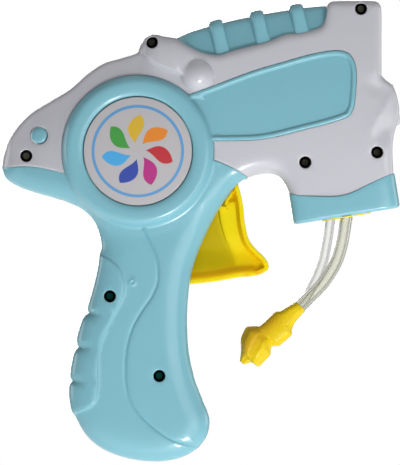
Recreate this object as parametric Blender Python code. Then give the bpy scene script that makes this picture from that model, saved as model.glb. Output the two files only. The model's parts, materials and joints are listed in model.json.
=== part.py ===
"""Hand-pumped bubble blower.

Metres, +Z up, muzzle towards +X, the side with the screw heads towards -Y, origin in the middle of the hand
grip. Sizes below are millimetres. Outlines are (x, z) points in the middle plane; each run is a smooth curve
through its points, and runs meet at corners.
"""
import math

import bmesh
import bpy
from mathutils import Matrix, Vector

MM = 0.001

# housing
BODY_HALF = 19.0
GRIP_HALF = 17.0
WALL = 2.0
EDGE_ROUND = 6.0
EDGE_STEPS = 2
SEAM = 0.3
FIT = 0.15
NOSE_TAPER_FROM = -20.0
NOSE_TIP = -58.5
NOSE_TAPER = 0.5

NOSE_TOP = [(-58.5, 74.4), (-57.4, 80.8), (-53.3, 89.2), (-46.4, 96.8), (-37.8, 102.3), (-29.2, 107.5),
            (-21.5, 114.2), (-14.6, 118.7), (-6.9, 121.0), (0.0, 123.4)]
EAR = [(0.0, 123.4), (1.1, 126.8), (3.4, 129.9), (6.9, 131.2), (11.6, 130.3), (16.3, 129.9)]
RAIL_SEAT = [(16.3, 129.9), (22.4, 126.0), (27.9, 123.6), (34.0, 122.7), (39.6, 124.1), (48.2, 126.4),
             (56.8, 128.8), (63.2, 131.3), (69.7, 132.2), (76.1, 133.7), (78.9, 135.4), (80.2, 138.9),
             (80.8, 142.8)]
TOWER = [(80.8, 142.8), (81.9, 144.6), (84.3, 145.5), (93.7, 145.6), (101.5, 145.5), (103.6, 144.3),
         (104.5, 141.0), (104.5, 126.8), (104.5, 113.5)]
FRONT = [(104.5, 113.5), (106.6, 104.1), (108.6, 93.7), (109.3, 85.1), (109.3, 77.4), (109.6, 71.8)]
COLLAR_SIDES = [(109.6, 71.8), (111.9, 59.3), (66.9, 51.2), (64.9, 61.9)]
ARCH = [(64.9, 61.9), (63.6, 65.8), (61.5, 69.2), (58.5, 71.2), (54.6, 71.4), (48.2, 70.1), (43.0, 67.7)]
TRIGGER_EDGE = [(43.0, 67.7), (38.7, 61.9), (33.5, 54.0), (28.8, 44.7), (24.9, 35.3), (22.8, 27.5),
                (21.7, 19.8), (21.2, 12.0)]
GRIP_FRONT = [(21.2, 12.0), (21.2, 4.3), (21.9, -5.2), (24.1, -15.5), (27.5, -24.9), (30.3, -31.8),
              (30.7, -36.1), (29.5, -41.3), (26.2, -46.0)]
GRIP_FOOT = [(26.2, -46.0), (20.2, -49.7), (12.9, -51.7), (5.2, -52.0), (-3.4, -50.9), (-12.0, -48.2),
             (-18.5, -44.3), (-23.2, -39.3), (-26.7, -34.0)]
GRIP_FROM = 12.0
GRIP_LONG = 64.0
GRIP_BACK = [(-26.7, -34.0), (-28.8, -30.1), (-29.7, -24.1), (-29.0, -15.5), (-27.3, -5.2), (-24.7, 4.7),
             (-21.3, 15.9), (-18.3, 26.7), (-16.3, 37.0)]
JAW = [(-16.3, 37.0), (-15.6, 40.4), (-17.0, 46.9), (-19.8, 52.5), (-24.9, 56.8), (-32.2, 59.9),
       (-42.1, 62.8), (-49.9, 65.3), (-55.5, 68.4), (-57.6, 71.0), (-58.5, 74.4)]
JAW_SEAM = [(-58.5, 73.7), (-53.3, 74.3), (-47.3, 74.6), (-40.0, 73.7)]
LOWER_SEAM = [(37.4, 75.5), (42.1, 73.1), (47.3, 69.9)]
SEAM_TURNS = (math.radians(196.6), math.radians(-6.5))
COLLAR_SEAM = [(64.9, 62.8), (70.5, 62.0), (77.4, 61.7), (84.3, 61.7), (89.4, 62.5), (93.7, 64.2),
               (99.8, 67.3), (104.9, 69.7), (109.6, 71.6)]

# side panel
PANEL = [(33.1, 109.4), (48.2, 115.1), (61.1, 119.0), (74.0, 122.6), (82.6, 124.2), (87.7, 124.1),
         (91.2, 122.3), (93.3, 117.8), (93.7, 111.8), (92.9, 101.5), (90.1, 95.7), (82.6, 93.2),
         (69.7, 89.9), (58.9, 87.2), (50.3, 85.9), (41.7, 85.6)]
PANEL_BEZEL = 1.9
PANEL_PROUD = 0.3
PANEL_SINK = 0.9
PANEL_THICK = 2.7

# side disc and its label
DISC_AT = (0.0, 81.1)
DISC_RADIUS = 32.6
DISC_CREST = 4.5
DISC_FLOOR = 1.4
DISC_STEPS = 32
LABEL_RADIUS = 23.2
LABEL_THICK = 0.8
LABEL_GAP = 0.4

# eye cap
EYE_AT = (-42.4, 87.9)
EYE_RADIUS = 3.7
EYE_THICK = 2.0
EYE_SEAT = 3.2

# raised dome beside the disc
DOME_AT = (25.4, 114.0)
DOME_RADIUS = 7.0
DOME_PROUD = 1.8

# case screws: nose, ear, tower, lower, right, upper grip, lower grip
BODY_SCREWS = [(-47.9, 79.1), (6.0, 127.8), (95.7, 142.2), (71.8, 76.3), (102.6, 80.6)]
GRIP_SCREWS = [(-12.0, 18.9), (9.2, -15.3)]
WELL_RADIUS = 2.4
WELL_FLOOR = 6.5
BOSS_WALL = 1.2
POST_RADIUS = 3.2
SCREW_HEAD = 2.1
SCREW_HEAD_HIGH = 1.6
SCREW_SHANK = 1.25
SCREW_LONG = 12.0

# top rail
RAIL_TOP = [(16.3, 129.9), (22.4, 132.3), (30.1, 134.6), (41.7, 137.5), (53.3, 139.9), (65.4, 141.9),
            (74.8, 143.1), (80.8, 143.4)]
RAIL_HALF = 14.6
RAIL_ROUND = 6.0
RAIL_X = [17.6, 20.5, 24.0, 28.0, 34.0, 40.0, 48.0, 56.0, 63.0, 70.0, 76.0, 78.4, 79.4]
RIB_X = [33.6, 50.9, 67.8]
RIB_WIDE = 5.0
RIB_PROUD = 1.9
RIB_LEAN = 0.25

# muzzle
MUZZLE_AT = (106.6, 100.6)
MUZZLE_TILT = math.radians(12.0)
MOUTH_RADIUS = 7.6
LIP_OUTER = 12.0
LIP_FRONT = 4.7
LIP_BACK = 4.0
NOZZLE_WALL = 1.3
NOZZLE_BACK = 16.0
NOZZLE_FLANGE = 1.6

# bottle collar and tube plug, in the collar's own frame, which stands on the rim
COLLAR_AT = (89.5, 53.8)
COLLAR_TILT = math.radians(9.2)
COLLAR_HALF = 22.4
COLLAR_CORNER = 6.5
COLLAR_HIGH = 24.0
COLLAR_CHAMFER = 1.2
SOCKET_RADIUS = 16.8
SOCKET_DEEP = 10.0
PLUG_RADIUS = 10.6
PLUG_PROUD = 0.6
PLUG_FLANGE = 2.0
SUCTION_IN_PLUG = (-7.2, 0.8)
RETURN_IN_PLUG = (-0.2, -1.0)

# tubes
SUCTION_OD = 4.2
RETURN_OD = 5.4
FEED_OD = 3.6
FEED_RISE = [(79.0, -2.0, 75.0), (76.0, -5.0, 81.5), (68.0, -7.5, 85.6)]
FEED_LEVEL_X = [55.0, 40.0, 24.0]
FEED_OUT = [(42.0, -8.5, 0.6), (60.0, -8.0, 2.4), (78.0, -4.0, 3.6)]
FEED_DROP = (4.5, -11.0)
FEED_TAP = (0.3, -10.0)
FEED_LEAD = (-6.0, -1.0, 0.6)
DRAIN_BEND = (89.6, -0.3, 78.0)
DRAIN_X = 90.0
TUBE_STUB = (-4.0, 0.0, 3.0)
SUCTION_RUN = [(82.3, 49.6, 0.8), (81.9, 45.9, 1.0), (81.1, 41.7, 1.2), (79.3, 35.0, 1.7), (76.5, 28.4, 2.1),
               (72.9, 22.1, 2.5)]
RETURN_RUN = [(89.1, 50.4, -1.0), (88.6, 46.6, -1.2), (87.5, 40.9, -1.5), (85.6, 34.6, -1.9),
              (82.6, 28.8, -2.2), (78.5, 23.2, -2.4)]

# filter on the tubes' ends: mouth, direction, sections (distance along, low and high side, half depth)
FILTER_AT = (68.6, 14.4)
FILTER_DIRECTION = math.radians(225.5)
FILTER_SECTIONS = [(-1.0, -4.0, 2.4, 6.0), (4.6, -4.1, 3.4, 6.0), (7.0, -4.4, 4.0, 6.0),
                   (8.2, -5.0, 5.3, 6.1), (9.6, -5.5, 5.4, 6.1), (10.4, -7.0, 5.4, 6.2),
                   (17.8, -6.4, 5.8, 6.0), (19.2, -4.6, 6.9, 4.8), (20.2, -4.2, 7.8, 4.2)]
FILTER_HOLE = -0.8
FILTER_SOCKET = 6.0
FILTER_SUCTION_Y = 2.6
FILTER_RETURN_Y = -2.4
CAP_SECTIONS = [(20.5, -4.2, 8.2, 5.4), (21.6, -4.6, 9.2, 6.4), (22.6, -5.8, 9.2, 6.6),
                (25.0, -6.0, 8.3, 6.6), (26.8, -6.1, 7.7, 6.4), (28.6, -6.1, 5.9, 6.0),
                (30.4, -5.8, 3.9, 4.9), (30.9, -2.6, 3.6, 3.6), (32.2, -1.9, 2.8, 2.8), (34.2, -0.5, 1.1, 1.2)]
CAP_LOBES = 6
CAP_LOBE_DEEP = 0.05

# trigger
TRIGGER_AT = (37.0, 73.1)
TRIGGER_FRONT = [(43.3, 65.6), (44.5, 62.6), (45.3, 56.8), (46.0, 49.9), (47.7, 43.2), (50.7, 39.1),
                 (54.2, 35.7), (56.1, 32.5), (55.8, 29.9), (52.9, 28.3), (49.0, 27.3)]
TRIGGER_UNDER = [(49.0, 27.3), (43.0, 26.9), (35.3, 25.5), (27.9, 24.5), (22.4, 24.0), (15.5, 23.6)]
TRIGGER_INSIDE = [(15.0, 26.0), (17.5, 38.0), (22.5, 52.0), (30.0, 67.0), (34.0, 75.5), (40.0, 75.5),
                  (42.0, 69.0)]
TRIGGER_HALF = 7.5
TRIGGER_RIM = 1.8
TRIGGER_HUB = 4.0
SLOT_GAP = 0.7
SLOT = [(44.5, 74.0), (50.0, 66.0), (32.0, 23.2), (18.0, 23.2), (22.0, 50.0), (30.0, 74.0)]
SPRING_RADIUS = 3.0
SPRING_WIRE = 0.8
SPRING_TURNS = 4

# gear train: layers are stacked from the middle plane outwards
MODULE = 0.9
PRESSURE = math.radians(20.0)
ADDENDUM = 0.7
DEDENDUM = 1.1
BACKLASH = 0.3
SECTOR_TEETH = 40
PINION_TEETH = 10
GEAR_TEETH = 30
SECTOR_TO_GEAR = math.radians(125.0)
SECTOR_SPAN = (math.radians(112.0), math.radians(154.0))
GEAR_WIDE = 3.2
LAYER_GAP = 0.6
PIN_RADIUS = 1.5
PLATE_THICK = 1.6
PLATE_EDGE = 3.4
PILLAR_RADIUS = 2.2
PILLARS = [(-9.0, 84.0), (22.0, 72.0), (38.0, 101.0)]
PLATE_FEET = [(-9.0, 84.0), (14.0, 84.0)]
FLYWHEEL_RADIUS = 14.0
FLYWHEEL_THICK = 2.2
FAN_RADIUS = 20.0
FAN_BLADES = 8
FAN_BLADE_THICK = 1.4
FAN_HUB = 4.0
FAN_PLATE = 1.2
FAN_GAP = 1.0
SCROLL_GAP = 1.6
SCROLL_WALL = 1.2
SLEEVE_RADIUS = 3.2

# roller pump on the second gear's pin
PUMP_WIDE = 5.0
ROLLER_RADIUS = 2.2
ROLLER_CIRCLE = 6.2
ROLLER_PIN = 1.0
TRACK_WALL = 1.6

# air duct sections: middle (x, z) and half height; it lies between the left gear plate and the side panel
DUCT_PATH = [(23.5, 89.5), (47.0, 95.0), (70.0, 97.5)]
DUCT_HIGH = [9.5, 9.0, 7.8]
DUCT_SPACE = (0.8, 0.6)
DUCT_END = (6.5, 6.0)
DUCT_WALL = 1.2
DUCT_WAY = 6.0

# drip tray under the nozzle
TRAY_X = (86.0, 98.5)
TRAY_HALF = 8.0
TRAY_Z = (84.8, 89.0)
TRAY_WALL = 1.2


def curve_through(points, spans=1):
    """Smooth curve through the points, without its last point."""
    found = []
    for i in range(len(points) - 1):
        before = points[max(i - 1, 0)]
        a, b = points[i], points[i + 1]
        after = points[min(i + 2, len(points) - 1)]
        for k in range(spans):
            t = k / spans
            weights = (-0.5 * t + t * t - 0.5 * t ** 3, 1 - 2.5 * t * t + 1.5 * t ** 3,
                       0.5 * t + 2 * t * t - 1.5 * t ** 3, -0.5 * t * t + 0.5 * t ** 3)
            found.append(tuple(sum(w * p[j] for w, p in zip(weights, (before, a, b, after)))
                               for j in range(len(a))))
    return found


def arc(at, radius, start, end, steps):
    return [(at[0] + radius * math.cos(start + (end - start) * k / steps),
             at[1] + radius * math.sin(start + (end - start) * k / steps)) for k in range(steps + 1)]


def circle(at, radius, sides=24):
    return arc(at, radius, 0.0, 2 * math.pi * (sides - 1) / sides, sides - 1)


def alongside(points, distance):
    """An open run moved to its left."""
    moved = []
    for i, (x, z) in enumerate(points):
        px, pz = points[max(i - 1, 0)]
        qx, qz = points[min(i + 1, len(points) - 1)]
        run = math.hypot(qx - px, qz - pz)
        moved.append((x - (qz - pz) / run * distance, z + (qx - px) / run * distance))
    return moved


def inward(points, distance):
    """An anticlockwise loop moved inwards in small steps; points that would cross are joined into one."""
    ring = [Vector(p) for p in points]
    owner = list(range(len(ring)))
    steps = max(1, math.ceil(abs(distance) / 0.3))
    for _ in range(steps):
        count = len(ring)
        ways = [(ring[(i + 1) % count] - ring[i]).normalized() for i in range(count)]
        moved = []
        for i in range(count):
            before, after = ways[i - 1], ways[i]
            normal = Vector((-before.y - after.y, before.x + after.x))
            moved.append(ring[i] + normal * (distance / steps / max(1 + before.dot(after), 0.4)))
        kept, place = [moved[0]], [0]
        for i in range(1, count):
            if (moved[i] - kept[-1]).dot(ways[i - 1]) <= 1e-3:
                kept[-1] = (moved[i] + kept[-1]) / 2
            else:
                kept.append(moved[i])
            place.append(len(kept) - 1)
        owner = [place[k] for k in owner]
        ring = kept
    return [tuple(ring[k]) for k in owner]


def hull(points):
    """Convex outline round the points, anticlockwise."""
    ordered = sorted(set(points))

    def chain(run):
        kept = []
        for p in run:
            while len(kept) > 1 and ((kept[-1][0] - kept[-2][0]) * (p[1] - kept[-2][1])
                                     - (kept[-1][1] - kept[-2][1]) * (p[0] - kept[-2][0])) <= 0:
                kept.pop()
            kept.append(p)
        return kept[:-1]

    return chain(ordered) + chain(ordered[::-1])


def made(name, bm, frame=None):
    """A new object from the bmesh."""
    bmesh.ops.remove_doubles(bm, verts=bm.verts, dist=1e-5)
    bmesh.ops.recalc_face_normals(bm, faces=bm.faces)
    if frame is not None:
        bmesh.ops.transform(bm, matrix=frame, verts=bm.verts)
    mesh = bpy.data.meshes.new(name)
    bm.to_mesh(mesh)
    bm.free()
    item = bpy.data.objects.new(name, mesh)
    bpy.context.scene.collection.objects.link(item)
    return item


def lofted(name, loops, frame=None):
    """Loops of (x, y, z) points with the same count, bridged in order and capped at both ends."""
    bm = bmesh.new()
    rings = [[bm.verts.new(p) for p in loop] for loop in loops]
    count = len(rings[0])
    for one, two in zip(rings, rings[1:]):
        for i in range(count):
            j = (i + 1) % count
            bm.faces.new((one[i], one[j], two[j], two[i]))
    bm.faces.new(rings[0][::-1])
    bm.faces.new(rings[-1])
    return made(name, bm, frame)


def prism(name, points, y0, y1, frame=None):
    """An (x, z) outline pulled out from y0 to y1."""
    return lofted(name, [[(x, y0, z) for x, z in points], [(x, y1, z) for x, z in points]], frame)


def rod(name, at, radius, y0, y1, sides=12):
    return prism(name, circle(at, radius, sides), y0, y1)


def turned(name, profile, steps, frame=None):
    """A closed (radius, along) profile spun about the local Z axis."""
    bm = bmesh.new()
    verts = [bm.verts.new((r, 0.0, h)) for r, h in profile]
    edges = [bm.edges.new((a, b)) for a, b in zip(verts, verts[1:] + verts[:1]) if a.co.x + b.co.x > 0]
    bmesh.ops.spin(bm, geom=verts + edges, axis=(0, 0, 1), cent=(0, 0, 0), angle=2 * math.pi, steps=steps,
                   use_merge=True)
    bmesh.ops.remove_doubles(bm, verts=bm.verts, dist=1e-4)
    bmesh.ops.dissolve_degenerate(bm, edges=bm.edges, dist=1e-4)
    return made(name, bm, frame)


def combine(body, tool, how):
    """Boolean of two objects, kept in the first; the tool is removed."""
    step = body.modifiers.new("combine", "BOOLEAN")
    step.operation = how
    step.solver = "EXACT"
    step.object = tool
    bpy.context.view_layer.update()
    ready = body.evaluated_get(bpy.context.evaluated_depsgraph_get())
    mesh = bpy.data.meshes.new_from_object(ready)
    body.modifiers.clear()
    bm = bmesh.new()
    bm.from_mesh(mesh)
    bmesh.ops.remove_doubles(bm, verts=bm.verts, dist=1e-4)
    bmesh.ops.dissolve_degenerate(bm, edges=bm.edges, dist=1e-4)
    bmesh.ops.holes_fill(bm, edges=[edge for edge in bm.edges if edge.is_boundary], sides=4)
    bm.to_mesh(mesh)
    bm.free()
    body.data = mesh
    mesh.name = body.name
    bpy.data.objects.remove(tool)
    return body


def gathered(name, items):
    """Several separate objects in one, to be used as one boolean tool."""
    bm = bmesh.new()
    for item in items:
        bm.from_mesh(item.data)
        bpy.data.objects.remove(item)
    mesh = bpy.data.meshes.new(name)
    bm.to_mesh(mesh)
    bm.free()
    whole = bpy.data.objects.new(name, mesh)
    bpy.context.scene.collection.objects.link(whole)
    return whole


def tube(name, points, od, sides=8):
    """A solid tube on a path of (x, y, z) points."""
    data = bpy.data.curves.new(name, "CURVE")
    data.dimensions = "3D"
    data.bevel_depth = od / 2 * MM
    data.bevel_resolution = (sides - 4) // 2
    data.use_fill_caps = True
    run = data.splines.new("POLY")
    run.points.add(len(points) - 1)
    for point, (x, y, z) in zip(run.points, points):
        point.co = (x * MM, y * MM, z * MM, 1.0)
    item = bpy.data.objects.new(name, data)
    bpy.context.scene.collection.objects.link(item)
    return item


def frame_at(at, tilt, y=0.0):
    """Local frame standing at (x, z), its Z axis leaning by the tilt from +Z towards -X."""
    return Matrix.Translation((at[0], y, at[1])) @ Matrix.Rotation(-tilt, 4, "Y")


def along_x(at, tilt):
    """Local frame whose Z axis points to +X, raised by the tilt."""
    return Matrix.Translation((at[0], 0, at[1])) @ Matrix.Rotation(math.pi / 2 - tilt, 4, "Y")


def nose_share(x):
    """Share of the full half depth left at x."""
    gone = min(max((NOSE_TAPER_FROM - x) / (NOSE_TAPER_FROM - NOSE_TIP), 0.0), 1.0)
    return 1.0 - NOSE_TAPER * gone ** 1.6


def rounded_half(name, points, half, sink, side):
    """Solid from the middle plane to the half depth, rounded at its edge; sink takes a wall off all round."""
    edge = max(EDGE_ROUND - sink, 1.5)
    deep = half - sink
    levels = [(sink, -1.0 if sink else SEAM / 2), (sink, deep - edge)]
    steps = 1 if sink else EDGE_STEPS
    for k in range(1, steps + 1):
        turn = math.pi / 2 * k / steps
        levels.append((sink + edge * (1 - math.cos(turn)), deep - edge + edge * math.sin(turn)))
    loops = []
    for step, y in levels:
        moved = inward(points, step) if step else points
        loops.append([(x, y, z) for x, z in moved])
    item = lofted(name, loops)
    bm = bmesh.new()
    bm.from_mesh(item.data)
    for share in (0.0, 0.2, 0.4, 0.6, 0.8):
        x = NOSE_TAPER_FROM + (NOSE_TIP - NOSE_TAPER_FROM) * share
        bmesh.ops.bisect_plane(bm, geom=bm.verts[:] + bm.edges[:] + bm.faces[:], dist=1e-4,
                               plane_co=(x, 0, 0), plane_no=(1, 0, 0))
    for v in bm.verts:
        if v.co.y > SEAM:
            v.co.y *= nose_share(v.co.x)
        v.co.y *= side
    tapered = [face for face in bm.faces if face.calc_center_median().x < NOSE_TAPER_FROM]
    bmesh.ops.triangulate(bm, faces=tapered)
    bmesh.ops.recalc_face_normals(bm, faces=bm.faces)
    bm.to_mesh(item.data)
    bm.free()
    return item


# places worked out from the sizes above
mid_half = GEAR_WIDE / 2
layer_a = (-mid_half, mid_half)
layer_b = (-mid_half - LAYER_GAP - GEAR_WIDE, -mid_half - LAYER_GAP)
layer_c = (mid_half + LAYER_GAP, mid_half + LAYER_GAP + GEAR_WIDE)
layer_pump = (layer_b[0] - LAYER_GAP - PUMP_WIDE, layer_b[0] - LAYER_GAP)
right_plate = (layer_pump[0] - LAYER_GAP - PLATE_THICK, layer_pump[0] - LAYER_GAP)
left_plate = (layer_c[1] + LAYER_GAP, layer_c[1] + LAYER_GAP + PLATE_THICK)
floor_inside = BODY_HALF + DISC_FLOOR - WALL
flywheel_y = (left_plate[1] + LAYER_GAP, left_plate[1] + LAYER_GAP + FLYWHEEL_THICK)
fan_y = (flywheel_y[1] + FIT, floor_inside - FAN_GAP)
pinion_pitch = MODULE * PINION_TEETH / 2
gear_pitch = MODULE * GEAR_TEETH / 2
sector_pitch = MODULE * SECTOR_TEETH / 2
first_at = (TRIGGER_AT[0] + (sector_pitch + pinion_pitch) * math.cos(SECTOR_TO_GEAR),
            TRIGGER_AT[1] + (sector_pitch + pinion_pitch) * math.sin(SECTOR_TO_GEAR))
gap_x, gap_z = first_at[0] - DISC_AT[0], first_at[1] - DISC_AT[1]
gap = math.hypot(gap_x, gap_z)
lift = math.sqrt((gear_pitch + pinion_pitch) ** 2 - gap * gap / 4)
second_at = (DISC_AT[0] + gap_x / 2 - gap_z / gap * lift, DISC_AT[1] + gap_z / 2 + gap_x / gap * lift)
feed_circle = ROLLER_CIRCLE + ROLLER_RADIUS + SEAM + FEED_OD / 2
track_inner = feed_circle + FEED_OD / 2 + SEAM
label_floor = BODY_HALF + DISC_FLOOR
panel_inside = BODY_HALF + PANEL_PROUD - PANEL_THICK
duct_side = (left_plate[1] + DUCT_SPACE[0], panel_inside - DUCT_SPACE[1])
duct_middle = (sum(duct_side) / 2, (duct_side[1] - duct_side[0]) / 2)
collar_frame = frame_at(COLLAR_AT, COLLAR_TILT)
muzzle_frame = along_x(MUZZLE_AT, MUZZLE_TILT)
nozzle_radius = MOUTH_RADIUS - SEAM


def gear_outline(teeth, at, facing, tooth=True):
    """Involute gear outline with a tooth, or a gap, centred on the facing angle."""
    pitch = MODULE * teeth / 2
    base = pitch * math.cos(PRESSURE)
    tip = pitch + ADDENDUM * MODULE
    root = pitch - DEDENDUM * MODULE
    flat = math.tan(PRESSURE) - PRESSURE
    middle = math.pi / (2 * teeth) - BACKLASH / (4 * pitch) + flat

    def half_angle(radius):
        lean = math.acos(min(base / radius, 1.0))
        return middle - (math.tan(lean) - lean)

    levels = [root, pitch, tip] if teeth < GEAR_TEETH else [root, tip]
    points = []
    for k in range(teeth):
        turn = facing + 2 * math.pi * (k if tooth else k + 0.5) / teeth
        for sign in (-1, 1):
            for radius in (levels if sign < 0 else levels[::-1]):
                a = turn + sign * half_angle(max(radius, base))
                points.append((at[0] + radius * math.cos(a), at[1] + radius * math.sin(a)))
    return points


def facing(a, b):
    return math.atan2(b[1] - a[1], b[0] - a[0])


def bored(item, at, radius, y0, y1, sides=12):
    return combine(item, rod("bore", at, radius, y0 - 1, y1 + 1, sides), "DIFFERENCE")


def clear_scene():
    for item in list(bpy.data.objects):
        bpy.data.objects.remove(item)


def teal_zone(with_panel):
    """Outline of everything teal on the sides: below the jaw seam, the disc, the panel and the grip."""
    jaw_seam = JAW_SEAM + arc(DISC_AT, DISC_RADIUS + 0.6, SEAM_TURNS[0], SEAM_TURNS[0], 1)[:1]
    lower_seam = arc(DISC_AT, DISC_RADIUS - 0.2, SEAM_TURNS[1], SEAM_TURNS[1], 1)[:1] + LOWER_SEAM
    points = [(-90.0, JAW_SEAM[0][1])] + curve_through(jaw_seam)
    if with_panel:
        points += arc(DISC_AT, DISC_RADIUS, math.radians(196), math.radians(48), 24)
        points += curve_through(PANEL) + [PANEL[-1]]
        points += arc(DISC_AT, DISC_RADIUS, math.radians(7.8), math.radians(-6.5), 3)
    else:
        points += arc(DISC_AT, DISC_RADIUS - WALL, math.radians(198), math.radians(-6.5), 24)
    points += curve_through(lower_seam)[1:] + [LOWER_SEAM[-1], (52.5, 66.7), (52.5, -90.0), (-90.0, -90.0)]
    return points[::-1]


def disc(name, side):
    """Raised ring with a sunk floor for the label."""
    r, b = DISC_RADIUS, BODY_HALF
    well = LABEL_RADIUS + LABEL_GAP
    top = b + DISC_CREST
    flank = b + DISC_CREST * 0.6
    ring = r - well
    foot = min(GRIP_HALF - WALL - 1.0, b - 2.0)
    profile = [(r, foot), (r, b + 0.5), (r - ring * 0.13, flank), (r - ring * 0.38, top - 0.3),
               (r - ring * 0.64, top - 0.3), (well + ring * 0.08, flank), (well, b + DISC_FLOOR + 0.8),
               (well, b + DISC_FLOOR), (0, b + DISC_FLOOR), (0, floor_inside), (well - 0.6, floor_inside),
               (r - ring * 0.51, top - WALL), (r - WALL, b - 1.0), (r - WALL, foot)]
    turn = Matrix.Rotation(math.pi / 2 * -side, 4, "X")
    return turned(name, profile, DISC_STEPS, Matrix.Translation((DISC_AT[0], 0, DISC_AT[1])) @ turn)


def panel(name, side):
    """Side panel with a rim, reaching into the disc's wall."""
    left = arc(DISC_AT, DISC_RADIUS - 1.0, math.radians(9.0), math.radians(45.5), 5)
    edge = PANEL
    points = left + edge
    out = BODY_HALF + PANEL_PROUD
    plate = prism(name, points, side * (out - PANEL_THICK), side * out)
    inner_left = arc(DISC_AT, DISC_RADIUS + 0.4, math.radians(11.5), math.radians(42.5), 5)
    inner = inner_left + alongside(edge, -PANEL_BEZEL)[1:-1]
    return combine(plate, prism("sink", inner, side * (out - PANEL_SINK), side * (out + 3)), "DIFFERENCE")


def screw_holes(spots, side):
    if side < 0:
        items = [turned("well", [(0, -60), (WELL_RADIUS, -60), (WELL_RADIUS, -WELL_FLOOR), (SCREW_SHANK + FIT,
                        -WELL_FLOOR), (SCREW_SHANK + FIT, 5), (0, 5)], 10,
                        Matrix.Translation((at[0], 0, at[1])) @ Matrix.Rotation(-math.pi / 2, 4, "X"))
                 for at in spots]
    else:
        long = SCREW_LONG - WELL_FLOOR + 1
        items = [rod("pilot", at, SCREW_SHANK + FIT, -5, long, 10) for at in spots]
    return gathered("holes", items)


def shell(name, points, half, side, spots):
    """Hollow half with its screw bosses, before its holes are cut."""
    solid = rounded_half("outer", points, half, 0.0, side)
    hollow = rounded_half("inner", points, half, WALL, side)
    radius = WELL_RADIUS + BOSS_WALL if side < 0 else POST_RADIUS
    posts = [rod("post", at, radius, side * -5, side * 60, 10) for at in spots]
    core = gathered("posts", posts)
    hollow = combine(hollow, core, "DIFFERENCE")
    solid = combine(solid, hollow, "DIFFERENCE")
    solid.name = name
    return solid


def side_name(side):
    return "right" if side < 0 else "left"


def body_shell(side):
    loop = []
    for run in (NOSE_TOP, EAR, RAIL_SEAT, TOWER, FRONT):
        loop += curve_through(run)
    loop += COLLAR_SIDES[:-1] + curve_through(ARCH) + [(43.0, 67.7), (38.7, 61.9), (33.5, 54.0), (0.0, 55.0)]
    loop += curve_through(JAW[5:])
    body = shell("body_shell_" + side_name(side), loop[::-1], BODY_HALF, side, BODY_SCREWS)
    depth = (side * 60, side * -5)
    zone = inward(teal_zone(True), -SEAM)
    body = combine(body, prism("teal", zone, *depth), "DIFFERENCE")
    seam = [(x, z + SEAM) for x, z in curve_through(COLLAR_SEAM) + [COLLAR_SEAM[-1]]]
    under = [(50.0, seam[0][1])] + seam + [(125.0, seam[-1][1]), (125.0, 30.0), (66.0, 30.0), (62.0, 55.0)]
    body = combine(body, prism("collar_zone", under, *depth), "DIFFERENCE")
    return body


def clipped(item, side):
    """Keeps only the part of a two-sided tool on one side of the middle plane."""
    y0, y1 = sorted((side * SEAM / 2, side * 80.0))
    block = prism("half", [(-200, -200), (250, -200), (250, 250), (-200, 250)], y0, y1)
    return combine(item, block, "INTERSECT")


def lip(side):
    inner, outer = MOUTH_RADIUS - 0.6, LIP_OUTER
    profile = [(inner, -LIP_BACK), (outer, -LIP_BACK), (outer, 0.6), (outer - 1.3, 2.4),
               (outer - 2.9, LIP_FRONT - 0.9), (inner + 1.5, LIP_FRONT), (inner, LIP_FRONT)]
    return clipped(turned("lip", profile, 20, muzzle_frame), side)


def mouth_cut():
    back, front = -LIP_BACK - 6, LIP_FRONT + 3
    profile = [(0, back), (MOUTH_RADIUS, back), (MOUTH_RADIUS, front), (0, front)]
    return turned("mouth", profile, 20, muzzle_frame)


def eye_depth():
    return BODY_HALF * nose_share(EYE_AT[0])


def dome(side):
    """Low dome standing on the side."""
    bm = bmesh.new()
    bmesh.ops.create_uvsphere(bm, u_segments=12, v_segments=6, radius=1.0)
    bmesh.ops.scale(bm, vec=(DOME_RADIUS, DOME_PROUD + 1.0, DOME_RADIUS), verts=bm.verts)
    bmesh.ops.translate(bm, vec=(DOME_AT[0], side * (BODY_HALF - 1.0), DOME_AT[1]), verts=bm.verts)
    return made("dome", bm)


def white_shell(side):
    body = body_shell(side)
    body = combine(body, lip(side), "UNION")
    body = combine(body, mouth_cut(), "DIFFERENCE")
    body = combine(body, dome(side), "UNION")
    deep = eye_depth()
    y0, y1 = sorted((side * (deep - EYE_SEAT), side * (deep - 1.2)))
    body = combine(body, rod("eye_boss", EYE_AT, EYE_RADIUS + 1.2, y0, y1, 14), "UNION")
    y0, y1 = sorted((side * (deep - EYE_THICK), side * (deep + 9)))
    body = combine(body, rod("eye_well", EYE_AT, EYE_RADIUS + FIT, y0, y1, 14), "DIFFERENCE")
    return combine(body, screw_holes(BODY_SCREWS, side), "DIFFERENCE")


def lengthened(points):
    """Points below the grip's start, drawn out to the grip's length."""
    share = GRIP_LONG / (GRIP_FROM - min(z for _, z in GRIP_FOOT))
    return [(x, z if z > GRIP_FROM else GRIP_FROM - (GRIP_FROM - z) * share) for x, z in points]


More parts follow.
